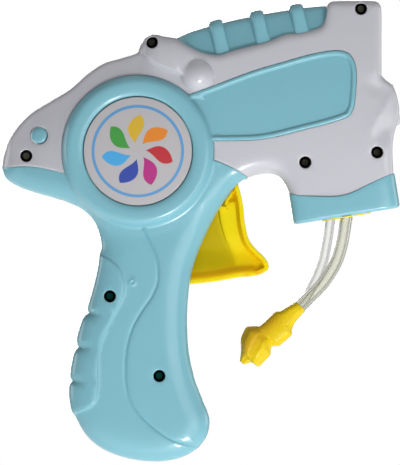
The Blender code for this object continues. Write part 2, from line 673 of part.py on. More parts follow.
def grip_shell(side):
    loop = []
    for run in (TRIGGER_EDGE, GRIP_FRONT, GRIP_FOOT, GRIP_BACK, JAW):
        loop += curve_through(lengthened(run))
    loop += [NOSE_TOP[0], NOSE_TOP[1], NOSE_TOP[2], (-20.0, 100.0), (30.0, 105.0), (64.0, 95.0), (64.0, 76.0)]
    loop += ARCH[3:-1]
    grip = shell("grip_shell_" + side_name(side), loop[::-1], GRIP_HALF, side, lengthened(GRIP_SCREWS))
    grip = combine(grip, prism("teal", teal_zone(False), side * 60, side * -5), "INTERSECT")
    grip = combine(grip, rod("disc_hole", DISC_AT, DISC_RADIUS - WALL / 2, side * -5, side * 60, DISC_STEPS),
                   "DIFFERENCE")
    grip = combine(grip, disc("disc", side), "UNION")
    grip = combine(grip, panel("panel", side), "UNION")
    if side > 0:
        (x0, z), (x1, _) = DUCT_PATH[:2]
        reach = DUCT_HIGH[0] + DUCT_WAY
        way = [(x0 - 4, z - reach), (x1 - 1.5, z - reach), (x1 - 1.5, z + reach), (x0 - 4, z + reach)]
        grip = combine(grip, prism("duct_way", way, 0, duct_side[1] + SEAM), "DIFFERENCE")
    slot = TRIGGER_HALF + SLOT_GAP
    grip = combine(grip, prism("slot", SLOT, -slot, slot), "DIFFERENCE")
    return combine(grip, screw_holes(lengthened(GRIP_SCREWS), side), "DIFFERENCE")


def build_trim(side):
    y0, y1 = sorted((side * (label_floor + FIT), side * (label_floor + FIT + LABEL_THICK)))
    rod("side_label_" + side_name(side), DISC_AT, LABEL_RADIUS, y0, y1, DISC_STEPS)
    deep = eye_depth()
    y0, y1 = sorted((side * (deep - EYE_THICK + FIT), side * (deep + FIT)))
    rod("eye_cap_" + side_name(side), EYE_AT, EYE_RADIUS - FIT, y0, y1, 14)


def build_screws():
    for k, at in enumerate(BODY_SCREWS + lengthened(GRIP_SCREWS)):
        seat = -WELL_FLOOR - FIT
        end = seat + SCREW_LONG
        profile = [(0, seat - SCREW_HEAD_HIGH), (SCREW_HEAD * 0.7, seat - SCREW_HEAD_HIGH),
                   (SCREW_HEAD, seat - SCREW_HEAD_HIGH * 0.5), (SCREW_HEAD, seat), (SCREW_SHANK, seat),
                   (SCREW_SHANK, end - 1), (0, end)]
        turned("case_screw_%d" % (k + 1), profile, 8,
               Matrix.Translation((at[0], 0, at[1])) @ Matrix.Rotation(-math.pi / 2, 4, "X"))


def height_at(points, x):
    """z on a run of points at x."""
    for a, b in zip(points, points[1:]):
        if a[0] <= x <= b[0]:
            return a[1] + (b[1] - a[1]) * (x - a[0]) / (b[0] - a[0])
    return points[-1][1]


def rail_section(x, top, seat, half, lean=0.0):
    """Arched section at x; the points lean forwards as they go down."""
    edge = min(RAIL_ROUND, (top - seat) * 0.85)
    section = [(-half, seat)]
    for k in range(4):
        turn = math.pi / 2 * k / 3
        section.append((-half + edge * (1 - math.cos(turn)), top - edge + edge * math.sin(turn)))
    section += [(-y, z) for y, z in section[::-1]]
    return [(x + lean * (top - z), y, z) for y, z in section]


def build_rail():
    seat_run = curve_through(RAIL_SEAT) + [RAIL_SEAT[-1]]
    top_run = curve_through(RAIL_TOP) + [RAIL_TOP[-1]]
    loops = [rail_section(x, height_at(top_run, x), height_at(seat_run, x) + SEAM, RAIL_HALF) for x in RAIL_X]
    rail = lofted("top_rail", loops)
    for x in RIB_X:
        top = height_at(top_run, x) + RIB_PROUD
        reach = x + RIB_LEAN * (top - height_at(seat_run, x + 3))
        ends = (-RIB_WIDE / 2, RIB_WIDE / 2)
        seat = max(height_at(seat_run, reach + step) for step in ends) + SEAM
        rib = [rail_section(x + step, top, seat, RAIL_HALF + 0.8, RIB_LEAN) for step in ends]
        rail = combine(rail, lofted("rib", rib), "UNION")
    return rail


def rounded_box(half_x, half_y, corner, inset):
    points = []
    for cx, cy, start in ((1, 1, 0), (-1, 1, 90), (-1, -1, 180), (1, -1, 270)):
        for k in range(5):
            turn = math.radians(start + 22.5 * k)
            points.append((cx * (half_x - corner) + (corner - inset) * math.cos(turn),
                           cy * (half_y - corner) + (corner - inset) * math.sin(turn)))
    return points


def build_collar():
    levels = [(COLLAR_CHAMFER, 0.0), (0.0, COLLAR_CHAMFER), (0.0, COLLAR_HIGH)]
    loops = [[(x, y, z) for x, y in rounded_box(COLLAR_HALF, BODY_HALF, COLLAR_CORNER, inset)]
             for inset, z in levels]
    collar = lofted("bottle_collar", loops, collar_frame)
    floor = SOCKET_DEEP + WALL
    inner = rounded_box(COLLAR_HALF, BODY_HALF, COLLAR_CORNER, WALL)
    room = lofted("room", [[(x, y, z) for x, y in inner] for z in (floor, COLLAR_HIGH + 2)], collar_frame)
    collar = combine(collar, room, "DIFFERENCE")
    hole = PLUG_RADIUS + SEAM
    profile = [(0, -3), (SOCKET_RADIUS, -3), (SOCKET_RADIUS, SOCKET_DEEP), (hole, SOCKET_DEEP),
               (hole, floor + 1), (0, floor + 1)]
    socket = turned("socket", profile, 28, collar_frame)
    collar = combine(collar, socket, "DIFFERENCE")
    seam = curve_through(COLLAR_SEAM) + [COLLAR_SEAM[-1]]
    above = [(40.0, seam[0][1])] + seam + [(130.0, seam[-1][1]), (130.0, 110.0), (40.0, 110.0)]
    return combine(collar, prism("above", above[::-1], -60, 60), "DIFFERENCE")


def collar_point(local_x, y, up):
    """World point of a place in the collar's frame."""
    return tuple(collar_frame @ Vector((local_x, y, up)))


def build_plug():
    floor = SOCKET_DEEP + WALL
    top = floor + SEAM + PLUG_FLANGE
    r = PLUG_RADIUS
    profile = [(0, -PLUG_PROUD), (r - 0.5, -PLUG_PROUD), (r, 0), (r, floor + SEAM), (r + 2, floor + SEAM),
               (r + 2, top), (0, top)]
    plug = turned("tube_plug", profile, 28, collar_frame)
    for (x, y), od in ((SUCTION_IN_PLUG, SUCTION_OD), (RETURN_IN_PLUG, RETURN_OD)):
        around = circle((x, y), od / 2 + FIT, 12)
        loops = [[(px, py, z) for px, py in around] for z in (-PLUG_PROUD - 2, top + 2)]
        plug = combine(plug, lofted("tube_hole", loops, collar_frame), "DIFFERENCE")
    return plug


def filter_point(along, across, y):
    """World point in the filter's frame: along its axis, across it in the middle plane, and y."""
    u = (math.cos(FILTER_DIRECTION), math.sin(FILTER_DIRECTION))
    return (FILTER_AT[0] + along * u[0] + across * u[1], y, FILTER_AT[1] + along * u[1] - across * u[0])


def build_tubes():
    mid = SOCKET_DEEP / 2
    rows = (("suction_tube", SUCTION_IN_PLUG, SUCTION_RUN, SUCTION_OD, FILTER_SUCTION_Y),
            ("return_tube", RETURN_IN_PLUG, RETURN_RUN, RETURN_OD, FILTER_RETURN_Y))
    for name, hole, run, od, y_end in rows:
        held = [collar_point(hole[0], hole[1], up) for up in (mid, 0.0, -PLUG_PROUD - 0.4)]
        free = [(x, y, z) for x, z, y in run]
        end = [filter_point(along, FILTER_HOLE, y_end) for along in (-4.0, 0.0, FILTER_SOCKET - 1.0)]
        path = curve_through(held[1:] + free + end, 2)
        tube(name, [held[0]] + path + [end[-1]], od, 8)


def filter_loops(sections, sides, lobes, lobe_deep):
    """Oval loops for the sections, with soft lobes round them."""
    loops = []
    for along, low, high, deep in sections:
        loop = []
        for k in range(sides):
            a = 2 * math.pi * k / sides
            lobe = 1 + lobe_deep * math.cos(lobes * a)
            across = (low + high) / 2 + (high - low) / 2 * lobe * math.cos(a)
            loop.append(filter_point(along, across, deep * lobe * math.sin(a)))
        loops.append(loop)
    return loops


def build_filter():
    body = lofted("filter_body", filter_loops(FILTER_SECTIONS, 20, 0, 0.0))
    for y, od in ((FILTER_SUCTION_Y, SUCTION_OD), (FILTER_RETURN_Y, RETURN_OD)):
        radius = od / 2 + FIT
        hole = [[filter_point(along, FILTER_HOLE + radius * math.cos(a), y + radius * math.sin(a))
                 for a in (2 * math.pi * k / 12 for k in range(12))] for along in (-4.0, FILTER_SOCKET)]
        body = combine(body, lofted("socket", hole), "DIFFERENCE")
    lofted("filter_cap", filter_loops(CAP_SECTIONS, 24, CAP_LOBES, CAP_LOBE_DEEP))


def build_trigger():
    face = curve_through(TRIGGER_FRONT) + curve_through(TRIGGER_UNDER) + [TRIGGER_UNDER[-1]]
    whole = face + TRIGGER_INSIDE
    trigger = prism("trigger", whole, *layer_a)
    back = alongside(face[::-1], TRIGGER_RIM)
    rim = prism("rim", face + back, -TRIGGER_HALF, TRIGGER_HALF)
    trigger = combine(trigger, rim, "UNION")
    trigger = combine(trigger, rod("hub", TRIGGER_AT, TRIGGER_HUB, layer_b[0], layer_c[1], 20), "UNION")
    teeth = gear_outline(SECTOR_TEETH, TRIGGER_AT, facing(TRIGGER_AT, first_at))
    wedge = [TRIGGER_AT]
    for x, z in teeth:
        turn = math.atan2(z - TRIGGER_AT[1], x - TRIGGER_AT[0])
        if SECTOR_SPAN[0] < turn < SECTOR_SPAN[1]:
            wedge.append((x, z))
    wedge[1:] = sorted(wedge[1:], key=lambda p: math.atan2(p[1] - TRIGGER_AT[1], p[0] - TRIGGER_AT[0]))
    trigger = combine(trigger, prism("sector", wedge, layer_a[0] + 0.05, layer_a[1] - 0.05), "UNION")
    return bored(trigger, TRIGGER_AT, PIN_RADIUS + FIT, layer_b[0], layer_c[1])


def build_trigger_spring():
    """Wound round the trigger's pin, one leg on the plate and one on the web."""
    x, z = TRIGGER_AT
    start = right_plate[1] + SPRING_WIRE / 2 + 0.2
    end = layer_b[0] - SPRING_WIRE / 2 - 0.2
    points = [(x - 9.0, start, z + 3.0)]
    steps = 8 * SPRING_TURNS
    for k in range(steps + 1):
        turn = math.pi / 2 + 2 * math.pi * k / 8
        points.append((x + SPRING_RADIUS * math.cos(turn), start + (end - start) * k / steps,
                       z + SPRING_RADIUS * math.sin(turn)))
    beside = layer_a[0] - SPRING_WIRE / 2 - SEAM
    points += [(x - SPRING_RADIUS - 1.5, end, z - 2.0), (x - 5.5, beside, z - 10.0)]
    pitch = (end - start) / SPRING_TURNS
    print("trigger spring: %d turns, gap between turns %.2f mm" % (SPRING_TURNS, pitch - SPRING_WIRE))
    return tube("trigger_spring", points, SPRING_WIRE, 6)


def build_gears():
    sector_line = facing(TRIGGER_AT, first_at)
    first = prism("first_gear", gear_outline(GEAR_TEETH, first_at, facing(first_at, second_at)), *layer_b)
    pinion = gear_outline(PINION_TEETH, first_at, sector_line + math.pi, tooth=False)
    first = combine(first, prism("pinion", pinion, layer_b[1] - 0.4, layer_a[1]), "UNION")
    bored(first, first_at, PIN_RADIUS + FIT, layer_b[0], layer_a[1])
    second = prism("second_gear", gear_outline(GEAR_TEETH, second_at, facing(second_at, DISC_AT)), *layer_c)
    pinion = gear_outline(PINION_TEETH, second_at, facing(second_at, first_at), tooth=False)
    carrier = (layer_pump[1] - 1.0, layer_pump[1])
    second = combine(second, prism("pinion", pinion, carrier[0] + 0.3, layer_c[0] + 0.4), "UNION")
    second = combine(second, rod("carrier", second_at, ROLLER_CIRCLE + 1.4, *carrier, 24), "UNION")
    hub = rod("hub", second_at, PIN_RADIUS + 1.4, layer_pump[0], carrier[1] - 0.3, 16)
    second = combine(second, hub, "UNION")
    for k in range(3):
        at = roller_at(k)
        pin = rod("roller_pin", at, ROLLER_PIN, layer_pump[0] + 0.4, carrier[1] - 0.4, 12)
        second = combine(second, pin, "UNION")
    bored(second, second_at, PIN_RADIUS + FIT, layer_pump[0], layer_c[1])
    teeth = gear_outline(PINION_TEETH, DISC_AT, facing(DISC_AT, second_at), tooth=False)
    drive = prism("drive_pinion", teeth, *layer_c)
    bored(drive, DISC_AT, PIN_RADIUS + FIT, *layer_c)


def roller_at(k):
    turn = 2 * math.pi * k / 3 + 0.35
    return (second_at[0] + ROLLER_CIRCLE * math.cos(turn), second_at[1] + ROLLER_CIRCLE * math.sin(turn))


def ring_arc(name, at, inner, outer, start, end, y0, y1, steps=18):
    points = arc(at, outer, start, end, steps) + arc(at, inner, end, start, steps)
    return prism(name, points, y0, y1)


def build_pump():
    for k in range(3):
        roller = rod("pump_roller_%d" % (k + 1), roller_at(k), ROLLER_RADIUS, layer_pump[0] + 0.4,
                     layer_pump[1] - 1.0 - SEAM, 14)
        bored(roller, roller_at(k), ROLLER_PIN + FIT, *layer_pump, 12)
    ring_arc("pump_track", second_at, track_inner, track_inner + TRACK_WALL, math.radians(85),
             math.radians(275), right_plate[1] + SEAM, layer_pump[1])
    y = sum(layer_pump) / 2
    top = SOCKET_DEEP + WALL + SEAM + PLUG_FLANGE
    rise = [collar_point(SUCTION_IN_PLUG[0], SUCTION_IN_PLUG[1], top + up) for up in TUBE_STUB]
    low = second_at[1] - feed_circle
    high = second_at[1] + feed_circle
    path = rise + FEED_RISE + [(x, y, low) for x in FEED_LEVEL_X]
    wrap = [(px, y, pz) for px, pz in arc(second_at, feed_circle, math.radians(270), math.radians(90), 14)]
    tap = muzzle_frame @ Vector((-nozzle_radius - FIT - FEED_TAP[0], 0, FEED_TAP[1]))
    above = muzzle_frame @ Vector((-nozzle_radius - FEED_DROP[0], 0, FEED_DROP[1]))
    out = [(FEED_LEVEL_X[-1], y, high)] + [(px, py, high + up) for px, py, up in FEED_OUT]
    out += [tuple(above + Vector(FEED_LEAD)), tuple(above), tuple(tap)]
    tube("feed_tube", path + wrap + out, FEED_OD, 6)
    top_b = [collar_point(RETURN_IN_PLUG[0], RETURN_IN_PLUG[1], top + up) for up in TUBE_STUB]
    tray_end = [DRAIN_BEND, (DRAIN_X, 0.0, TRAY_Z[0] - 2.5), (DRAIN_X, 0.0, TRAY_Z[0] - SEAM)]
    drain = top_b + tray_end
    tube("drain_tube", drain, RETURN_OD, 8)


def build_plates():
    axes = [DISC_AT, first_at, second_at, TRIGGER_AT]
    seats = []
    for at in axes + PILLARS:
        seats += circle(at, PLATE_EDGE, 16)
    left = prism("left_gear_plate", hull(seats), *left_plate)
    for at in PILLARS:
        pillar = rod("pillar", at, PILLAR_RADIUS, right_plate[1] + SEAM, left_plate[0] + 0.5, 12)
        left = combine(left, pillar, "UNION")
    seats += circle(second_at, track_inner + TRACK_WALL + 0.5, 32)
    right = prism("right_gear_plate", hull(seats), *right_plate)
    for at in PLATE_FEET:
        right = combine(right, rod("foot", at, PILLAR_RADIUS + 0.6, -floor_inside + SEAM,
                                   right_plate[0] + 0.5, 12),
                        "UNION")
    for plate, span in ((left, left_plate), (right, right_plate)):
        bores = [rod("bore", at, PIN_RADIUS + FIT, span[0] - 1, span[1] + 1, 12) for at in axes]
        cut = gathered("bores", bores)
        combine(plate, cut, "DIFFERENCE")
    for name, at in (("first_gear_pin", first_at), ("second_gear_pin", second_at),
                     ("trigger_pin", TRIGGER_AT)):
        rod(name, at, PIN_RADIUS, right_plate[0], left_plate[1], 12)


def build_fan():
    rod("fan_shaft", DISC_AT, PIN_RADIUS, right_plate[0], fan_y[1], 12)
    sleeve = rod("one_way_sleeve", DISC_AT, SLEEVE_RADIUS, layer_b[1], layer_c[0] - SEAM, 16)
    bored(sleeve, DISC_AT, PIN_RADIUS + FIT, layer_b[1], layer_c[0])
    wheel = rod("flywheel", DISC_AT, FLYWHEEL_RADIUS, *flywheel_y, 30)
    bored(wheel, DISC_AT, PIN_RADIUS + FIT, *flywheel_y)
    star = []
    for k in range(FAN_BLADES):
        a = 2 * math.pi * k / FAN_BLADES
        for across, out in ((-1, FAN_HUB), (-1, FAN_RADIUS - 0.3), (1, FAN_RADIUS - 0.3), (1, FAN_HUB)):
            half = across * FAN_BLADE_THICK / 2
            star.append((DISC_AT[0] + out * math.cos(a) - half * math.sin(a),
                         DISC_AT[1] + out * math.sin(a) + half * math.cos(a)))
    fan = rod("fan_impeller", DISC_AT, FAN_RADIUS, fan_y[0], fan_y[0] + FAN_PLATE, 32)
    fan = combine(fan, prism("blades", star, fan_y[0] + FAN_PLATE / 2, fan_y[1]), "UNION")
    bored(fan, DISC_AT, PIN_RADIUS + FIT, *fan_y)
    inner = FAN_RADIUS + SCROLL_GAP
    ring_arc("fan_scroll", DISC_AT, inner, inner + SCROLL_WALL, math.radians(48), math.radians(352),
             left_plate[1] + SEAM, floor_inside - SEAM, 26)


def build_duct():
    def section(grow):
        loops = []
        for (x, z), high, (y, deep) in zip(DUCT_PATH, DUCT_HIGH, (duct_middle, duct_middle, DUCT_END)):
            loops.append([(x, y + b * (deep + grow), z + a * (high + grow))
                          for a, b in ((-1, -1), (-1, 1), (1, 1), (1, -1))])
        half = nozzle_radius - 0.8 + grow
        loops.append([tuple(muzzle_frame @ Vector((-a * half, b * half, -NOZZLE_BACK - SEAM)))
                      for a, b in ((-1, -1), (-1, 1), (1, 1), (1, -1))])
        return loops

    duct = lofted("air_duct", section(0.0))
    inner = section(-DUCT_WALL)
    inner[0] = [(x - 2.0, y, z) for x, y, z in inner[0]]
    ahead = muzzle_frame.to_3x3() @ Vector((0, 0, 2.0))
    inner[-1] = [tuple(Vector(p) + ahead) for p in inner[-1]]
    combine(duct, lofted("air", inner), "DIFFERENCE")


def build_nozzle():
    r = nozzle_radius
    bore = r - NOZZLE_WALL
    back = -LIP_BACK - SEAM
    flange = back - NOZZLE_FLANGE
    profile = [(bore, -NOZZLE_BACK), (r, -NOZZLE_BACK), (r, flange), (r + 1.6, flange), (r + 1.6, back),
               (r, back), (r, LIP_FRONT - 1.4), (bore, LIP_FRONT - 1.4)]
    turned("bubble_nozzle", profile, 20, muzzle_frame)
    x0, x1 = TRAY_X
    z0, z1 = TRAY_Z
    tray = prism("drip_tray", [(x0, z0), (x1, z0), (x1, z1), (x0, z1)], -TRAY_HALF, TRAY_HALF)
    t = TRAY_WALL
    room = prism("tray_room", [(x0 + t, z0 + t), (x1 - t, z0 + t), (x1 - t, z1 + 2), (x0 + t, z1 + 2)],
                 -TRAY_HALF + t, TRAY_HALF - t)
    combine(tray, room, "DIFFERENCE")


clear_scene()
for one_side in (-1, 1):
    white_shell(one_side)
    grip_shell(one_side)
    build_trim(one_side)
build_rail()
build_collar()
build_plug()
build_tubes()
build_filter()
build_screws()
build_trigger()
build_trigger_spring()
build_gears()
build_pump()
build_plates()
build_fan()
build_duct()
build_nozzle()
for piece in bpy.data.objects:
    if piece.type == "MESH":
        piece.data.transform(Matrix.Scale(MM, 4))
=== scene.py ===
import json
import math

import bmesh
import bpy
import numpy as np
from mathutils import Matrix, Vector
from mathutils.geometry import delaunay_2d_cdt


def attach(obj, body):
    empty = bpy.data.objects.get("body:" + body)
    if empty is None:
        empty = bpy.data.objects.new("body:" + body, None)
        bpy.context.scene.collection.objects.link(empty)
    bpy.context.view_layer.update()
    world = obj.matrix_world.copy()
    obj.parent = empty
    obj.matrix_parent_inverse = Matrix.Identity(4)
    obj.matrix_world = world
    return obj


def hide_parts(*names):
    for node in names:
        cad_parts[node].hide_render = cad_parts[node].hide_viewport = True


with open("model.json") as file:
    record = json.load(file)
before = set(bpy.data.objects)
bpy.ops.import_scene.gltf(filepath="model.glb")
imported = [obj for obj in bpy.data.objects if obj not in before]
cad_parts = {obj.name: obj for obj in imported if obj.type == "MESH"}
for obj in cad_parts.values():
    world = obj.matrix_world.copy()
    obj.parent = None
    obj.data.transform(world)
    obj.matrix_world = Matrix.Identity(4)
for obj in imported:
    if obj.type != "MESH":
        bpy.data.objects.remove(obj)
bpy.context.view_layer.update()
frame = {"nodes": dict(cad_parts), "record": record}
mm = 0.001  # lengths in the dictionaries are millimetres
radian = 57.3  # degrees
batch = 3000  # points worked on at a time
tiny = 1e-12  # keeps a division off zero
merge = {"doubles": 2e-6, "slivers": 1e-7}  # metres
print("frame:", len(frame["nodes"]), "nodes")


# curves and distances, whole arrays of (x, z) points in the middle plane

def runAlong(points):  # length of the line up to each point
    return np.r_[0, np.cumsum(np.linalg.norm(np.diff(points, axis=0), axis=1))]


def cutInto(points, steps):  # the same line cut into equal steps
    run = runAlong(points)
    cuts = np.linspace(0, run[-1], steps + 1)
    return np.stack([np.interp(cuts, run, column) for column in points.T], 1)


def evenly(points, pitch):  # the same line in equal steps of about the pitch
    points = np.asarray(points, float)
    return cutInto(points, max(int(round(runAlong(points)[-1] / pitch)), 1))


def smoothRun(points, pitch=1.0, steps=12):  # Catmull-Rom: cubics sloped along the points on either side
    p = np.asarray(points, float)
    q = np.vstack([2 * p[0] - p[1], p, 2 * p[-1] - p[-2]])
    t = np.linspace(0, 1, steps, endpoint=False)[None, :, None]
    a, b, c, d = q[:-3, None], q[1:-2, None], q[2:-1, None], q[3:, None]
    square, cube = 2 * a - 5 * b + 4 * c - d, 3 * b - a - 3 * c + d
    dense = 0.5 * (2 * b + (c - a) * t + square * t ** 2 + cube * t ** 3)
    return evenly(np.vstack([dense.reshape(-1, p.shape[1]), p[-1:]]), pitch)


def arcAt(at, radius, start, end, pitch=1.0):  # circle arc between two angles in degrees
    steps = max(int(abs(end - start) / radian * radius / pitch), 2)
    turn = np.radians(np.linspace(start, end, steps + 1))
    return np.stack([at[0] + radius * np.cos(turn), at[1] + radius * np.sin(turn)], 1)


def ringAt(at, radius, pitch=0.8, tall=1.0):  # closed circle, or an ellipse when tall isn't 1
    return arcAt((0, 0), radius, 0, 360, pitch) * (1, tall) + at


def wholeTurn(count):  # equal angles round a circle
    return np.linspace(0, 2 * math.pi, count, endpoint=False)


def unit(rows, spare=0.0):  # each row brought to length 1
    return rows / (np.linalg.norm(rows, axis=1, keepdims=True) + spare)


def leftOf(way):  # each direction turned a quarter turn to the left
    return np.stack([-way[:, 1], way[:, 0]], 1)


def alongside(line, offset):  # an open line moved to its left by the offset, along its normals
    return line + offset * leftOf(unit(np.gradient(line, axis=0)))


def joined(*runs):  # runs that follow each other as one loop
    return np.vstack([run[:-1] for run in runs])


def closed(loop):
    return np.vstack([loop, loop[:1]])


def inset(loop, distance, step=0.25, sharpest=0.5, shortest=0.02):  # an anticlockwise loop moved inwards
    ring = loop.copy()
    steps = math.ceil(distance / step)
    for _ in range(steps):  # small mitred steps; edges that turn round drop out
        way = unit(np.roll(ring, -1, 0) - ring, tiny)
        back = np.roll(way, 1, 0)
        lean = 1 + (way * back).sum(1, keepdims=True)
        moved = ring + leftOf(way + back) / np.maximum(lean, sharpest) * distance / steps
        ring = moved[((np.roll(moved, -1, 0) - moved) * way).sum(1) > shortest]
    return ring


def distanceTo(points, line):  # shortest distance from each point to the line's segments
    a = line[:-1]
    run = line[1:] - a
    size = (run ** 2).sum(1) + tiny
    found = np.empty(len(points))
    for k in range(0, len(points), batch):
        away = points[k:k + batch, None] - a
        share = np.clip((away * run).sum(2) / size, 0, 1)
        found[k:k + batch] = np.sqrt(((away - share[..., None] * run) ** 2).sum(2).min(1))
    return found


def insideLoop(points, loop):  # even-odd count of the loop's edges to the right of each point
    a, b = loop, np.roll(loop, -1, 0)
    found = np.empty(len(points), bool)
    for k in range(0, len(points), batch):
        x, z = points[k:k + batch, :1], points[k:k + batch, 1:]
        spans = (a[:, 1] > z) != (b[:, 1] > z)
        cross = a[:, 0] + (z - a[:, 1]) * (b[:, 0] - a[:, 0]) / (b[:, 1] - a[:, 1] + tiny)
        found[k:k + batch] = (spans & (x < cross)).sum(1) % 2 == 1
    return found


def offSegment(p, start, stop):  # share of the way along a segment, and distance from it
    way = stop - start
    along = np.clip((p - start) @ way / (way @ way), 0, 1)
    return along, np.linalg.norm(p - start - along[:, None] * way, axis=1)


def fromSpot(p, at):  # distance of each point from a spot
    return np.linalg.norm(p - at, axis=1)


def ease(low, high, value):  # smooth step from 0 at low to 1 at high
    t = np.clip((value - low) / (high - low), 0, 1)
    return t * t * (3 - 2 * t)


def fade(distance, wide):  # 1 at no distance, falling evenly to 0 at the width
    return np.clip(1 - distance / wide, 0, 1)


def mixed(first, second, share):  # a share of the way from the first to the second
    return first + (second - first) * share


def softMaximum(a, b, blend):  # the greater of two heights, rounded where they differ by less than the blend
    return np.maximum(a, b) + np.maximum(blend - np.abs(a - b), 0) ** 2 / (4 * blend)


# meshes

def meshPiece(name, verts, faces, smooth=35.0):  # an object in metres, its edges sharp past the angle
    mesh = bpy.data.meshes.new(name)
    mesh.from_pydata((np.asarray(verts) * mm).tolist(), [], [list(f) for f in faces])
    work = bmesh.new()
    work.from_mesh(mesh)
    bmesh.ops.remove_doubles(work, verts=work.verts, dist=merge["doubles"])
    bmesh.ops.dissolve_degenerate(work, edges=work.edges, dist=merge["slivers"])
    work.to_mesh(mesh)
    work.free()
    mesh.polygons.foreach_set("use_smooth", np.ones(len(mesh.polygons), bool))
    mesh.set_sharp_from_angle(angle=math.radians(smooth))
    piece = bpy.data.objects.new(name, mesh)
    bpy.context.scene.collection.objects.link(piece)
    return piece


def gridFaces(rows, columns):  # quads between neighbouring rows, closed round each row
    r, c = np.meshgrid(np.arange(rows - 1), np.arange(columns), indexing="ij")
    here, above, n = r * columns, (r + 1) * columns, (c + 1) % columns
    return np.stack([here + c, here + n, above + n, above + c], -1).reshape(-1, 4)


def loftPiece(name, loops, capped=True, smooth=35.0, turned=True):  # closed loops bridged in order
    loops = np.asarray(loops, float)
    rows, columns = loops.shape[:2]
    faces = gridFaces(rows, columns).tolist()
    if capped:
        faces += [list(range(columns))[::-1], list(range((rows - 1) * columns, rows * columns))]
    piece = meshPiece(name, loops.reshape(-1, 3), faces, smooth)
    if turned:
        outwards(piece)
    return piece


def placed(points, frameAt):  # points moved from a frame's own axes to the part's
    place = np.array(frameAt)
    return points @ place[:3, :3].T + place[:3, 3]


def spunPiece(name, profile, frameAt, count=72, smooth=35.0):  # (radius, along) profile turned about a Z axis
    profile = np.asarray(profile, float)
    turn = wholeTurn(count)
    r, along = profile[:, :1], np.repeat(profile[:, 1:], count, 1)
    loops = placed(np.stack([r * np.cos(turn), r * np.sin(turn), along], -1), frameAt)
    meets = np.linalg.norm(profile[0] - profile[-1]) < 1e-9 or (profile[0, 0] == 0 and profile[-1, 0] == 0)
    return loftPiece(name, loops, not meets, smooth)


def outwards(piece):  # faces turned to point out of the closed shape
    work = bmesh.new()
    work.from_mesh(piece.data)
    bmesh.ops.recalc_face_normals(work, faces=work.faces)
    work.to_mesh(piece.data)
    work.free()


def rounded(profile, radius, steps=4, most=0.45):  # (r, h) corners as short curves of the radius, ends kept
    p = np.asarray(profile, float)
    a, b, c = p[:-2], p[1:-1], p[2:]
    inTo, out = a - b, c - b
    lengthIn = np.linalg.norm(inTo, axis=1, keepdims=True)
    lengthOut = np.linalg.norm(out, axis=1, keepdims=True)
    start = b + inTo / lengthIn * np.minimum(radius, lengthIn * most)
    stop = b + out / lengthOut * np.minimum(radius, lengthOut * most)
    t = np.linspace(0, 1, steps + 1)[None, :, None]
    bends = (1 - t) ** 2 * start[:, None] + 2 * t * (1 - t) * b[:, None] + t ** 2 * stop[:, None]
    return np.vstack([p[:1], bends.reshape(-1, 2), p[-1:]])


def thicken(piece, offset, wall=0.8):  # a wall behind the faces at -1, before them at 1
    solid = piece.modifiers.new("wall", "SOLIDIFY")
    solid.thickness = wall * mm
    solid.offset = offset


def finishPiece(piece, slot, nodes=(), body="housing", finish=None):  # the slot's finish, unless one is given
    piece.data.materials.clear()
    piece.data.materials.append(finish or slotFinish[slot])
    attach(piece, body)
    if nodes:
        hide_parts(*nodes)


def paint(piece, mask, worth):  # a named point attribute, worked out from the mesh's own (x, z)
    mesh = piece.data
    place = np.empty(len(mesh.vertices) * 3)
    mesh.vertices.foreach_get("co", place)
    x, _, z = place.reshape(-1, 3).T / mm
    mesh.attributes.new(mask, "FLOAT", "POINT").data.foreach_set("value", worth(x, z).astype(np.float32))


# camera: square on to the right side, far off with a long lens, framed as the photograph

view = {
    "mmPerPixel": 0.43, "wide": 400, "high": 465, "originPixel": (138.0, 340.0), "distance": 6000.0,
    "sensor": 36.0, "clipMetres": 50,
}


def placeCamera():
    data = bpy.data.cameras.new("camera")
    camera = bpy.data.objects.new("camera", data)
    bpy.context.scene.collection.objects.link(camera)
    x = (view["wide"] / 2 - view["originPixel"][0]) * view["mmPerPixel"]
    z = (view["originPixel"][1] - view["high"] / 2) * view["mmPerPixel"]
    camera.location = Vector((x, -view["distance"], z)) * mm
    camera.rotation_euler = (math.pi / 2, 0, 0)
    data.sensor_width = view["sensor"]
    data.lens = view["sensor"] * view["distance"] / (view["high"] * view["mmPerPixel"])
    data.clip_end = view["clipMetres"]
    bpy.context.scene.camera = camera


placeCamera()
print("camera placed")


# finishes

grainLook = {
    "noises": [("Cloud", 18.0, "Tint", 2.0), ("Smudge", 70.0, "Gloss", 5.0),
        ("Fine", 1400.0, "Height", 3.0)],
    "wearAndHighlightEdge": {"From Min": 0.53, "From Max": 0.64}, "glossSpan": (0.3, 0.7), "relief": 0.05,
    "reliefMetres": 0.0002, "paleEdgeKeeps": 0.65, "paleEdgeAdds": 0.30,
}


def link(tree, source, output, target, socket):
    tree.links.new(source.outputs[output], target.inputs[socket])


def setInputs(node, values):  # constants on the node's own sockets
    for socket, value in values.items():
        node.inputs[socket].default_value = value


def newNode(tree, kind, values=None):
    node = tree.nodes.new("ShaderNode" + kind)
    setInputs(node, values or {})
    return node


def mathNode(tree, kind, *values):  # a sum on sockets and numbers
    node = newNode(tree, "Math")
    node.operation = kind
    for k, value in enumerate(values):
        if isinstance(value, (int, float)):
            node.inputs[k].default_value = value
        else:
            tree.links.new(value, node.inputs[k])
    return node.outputs[0]


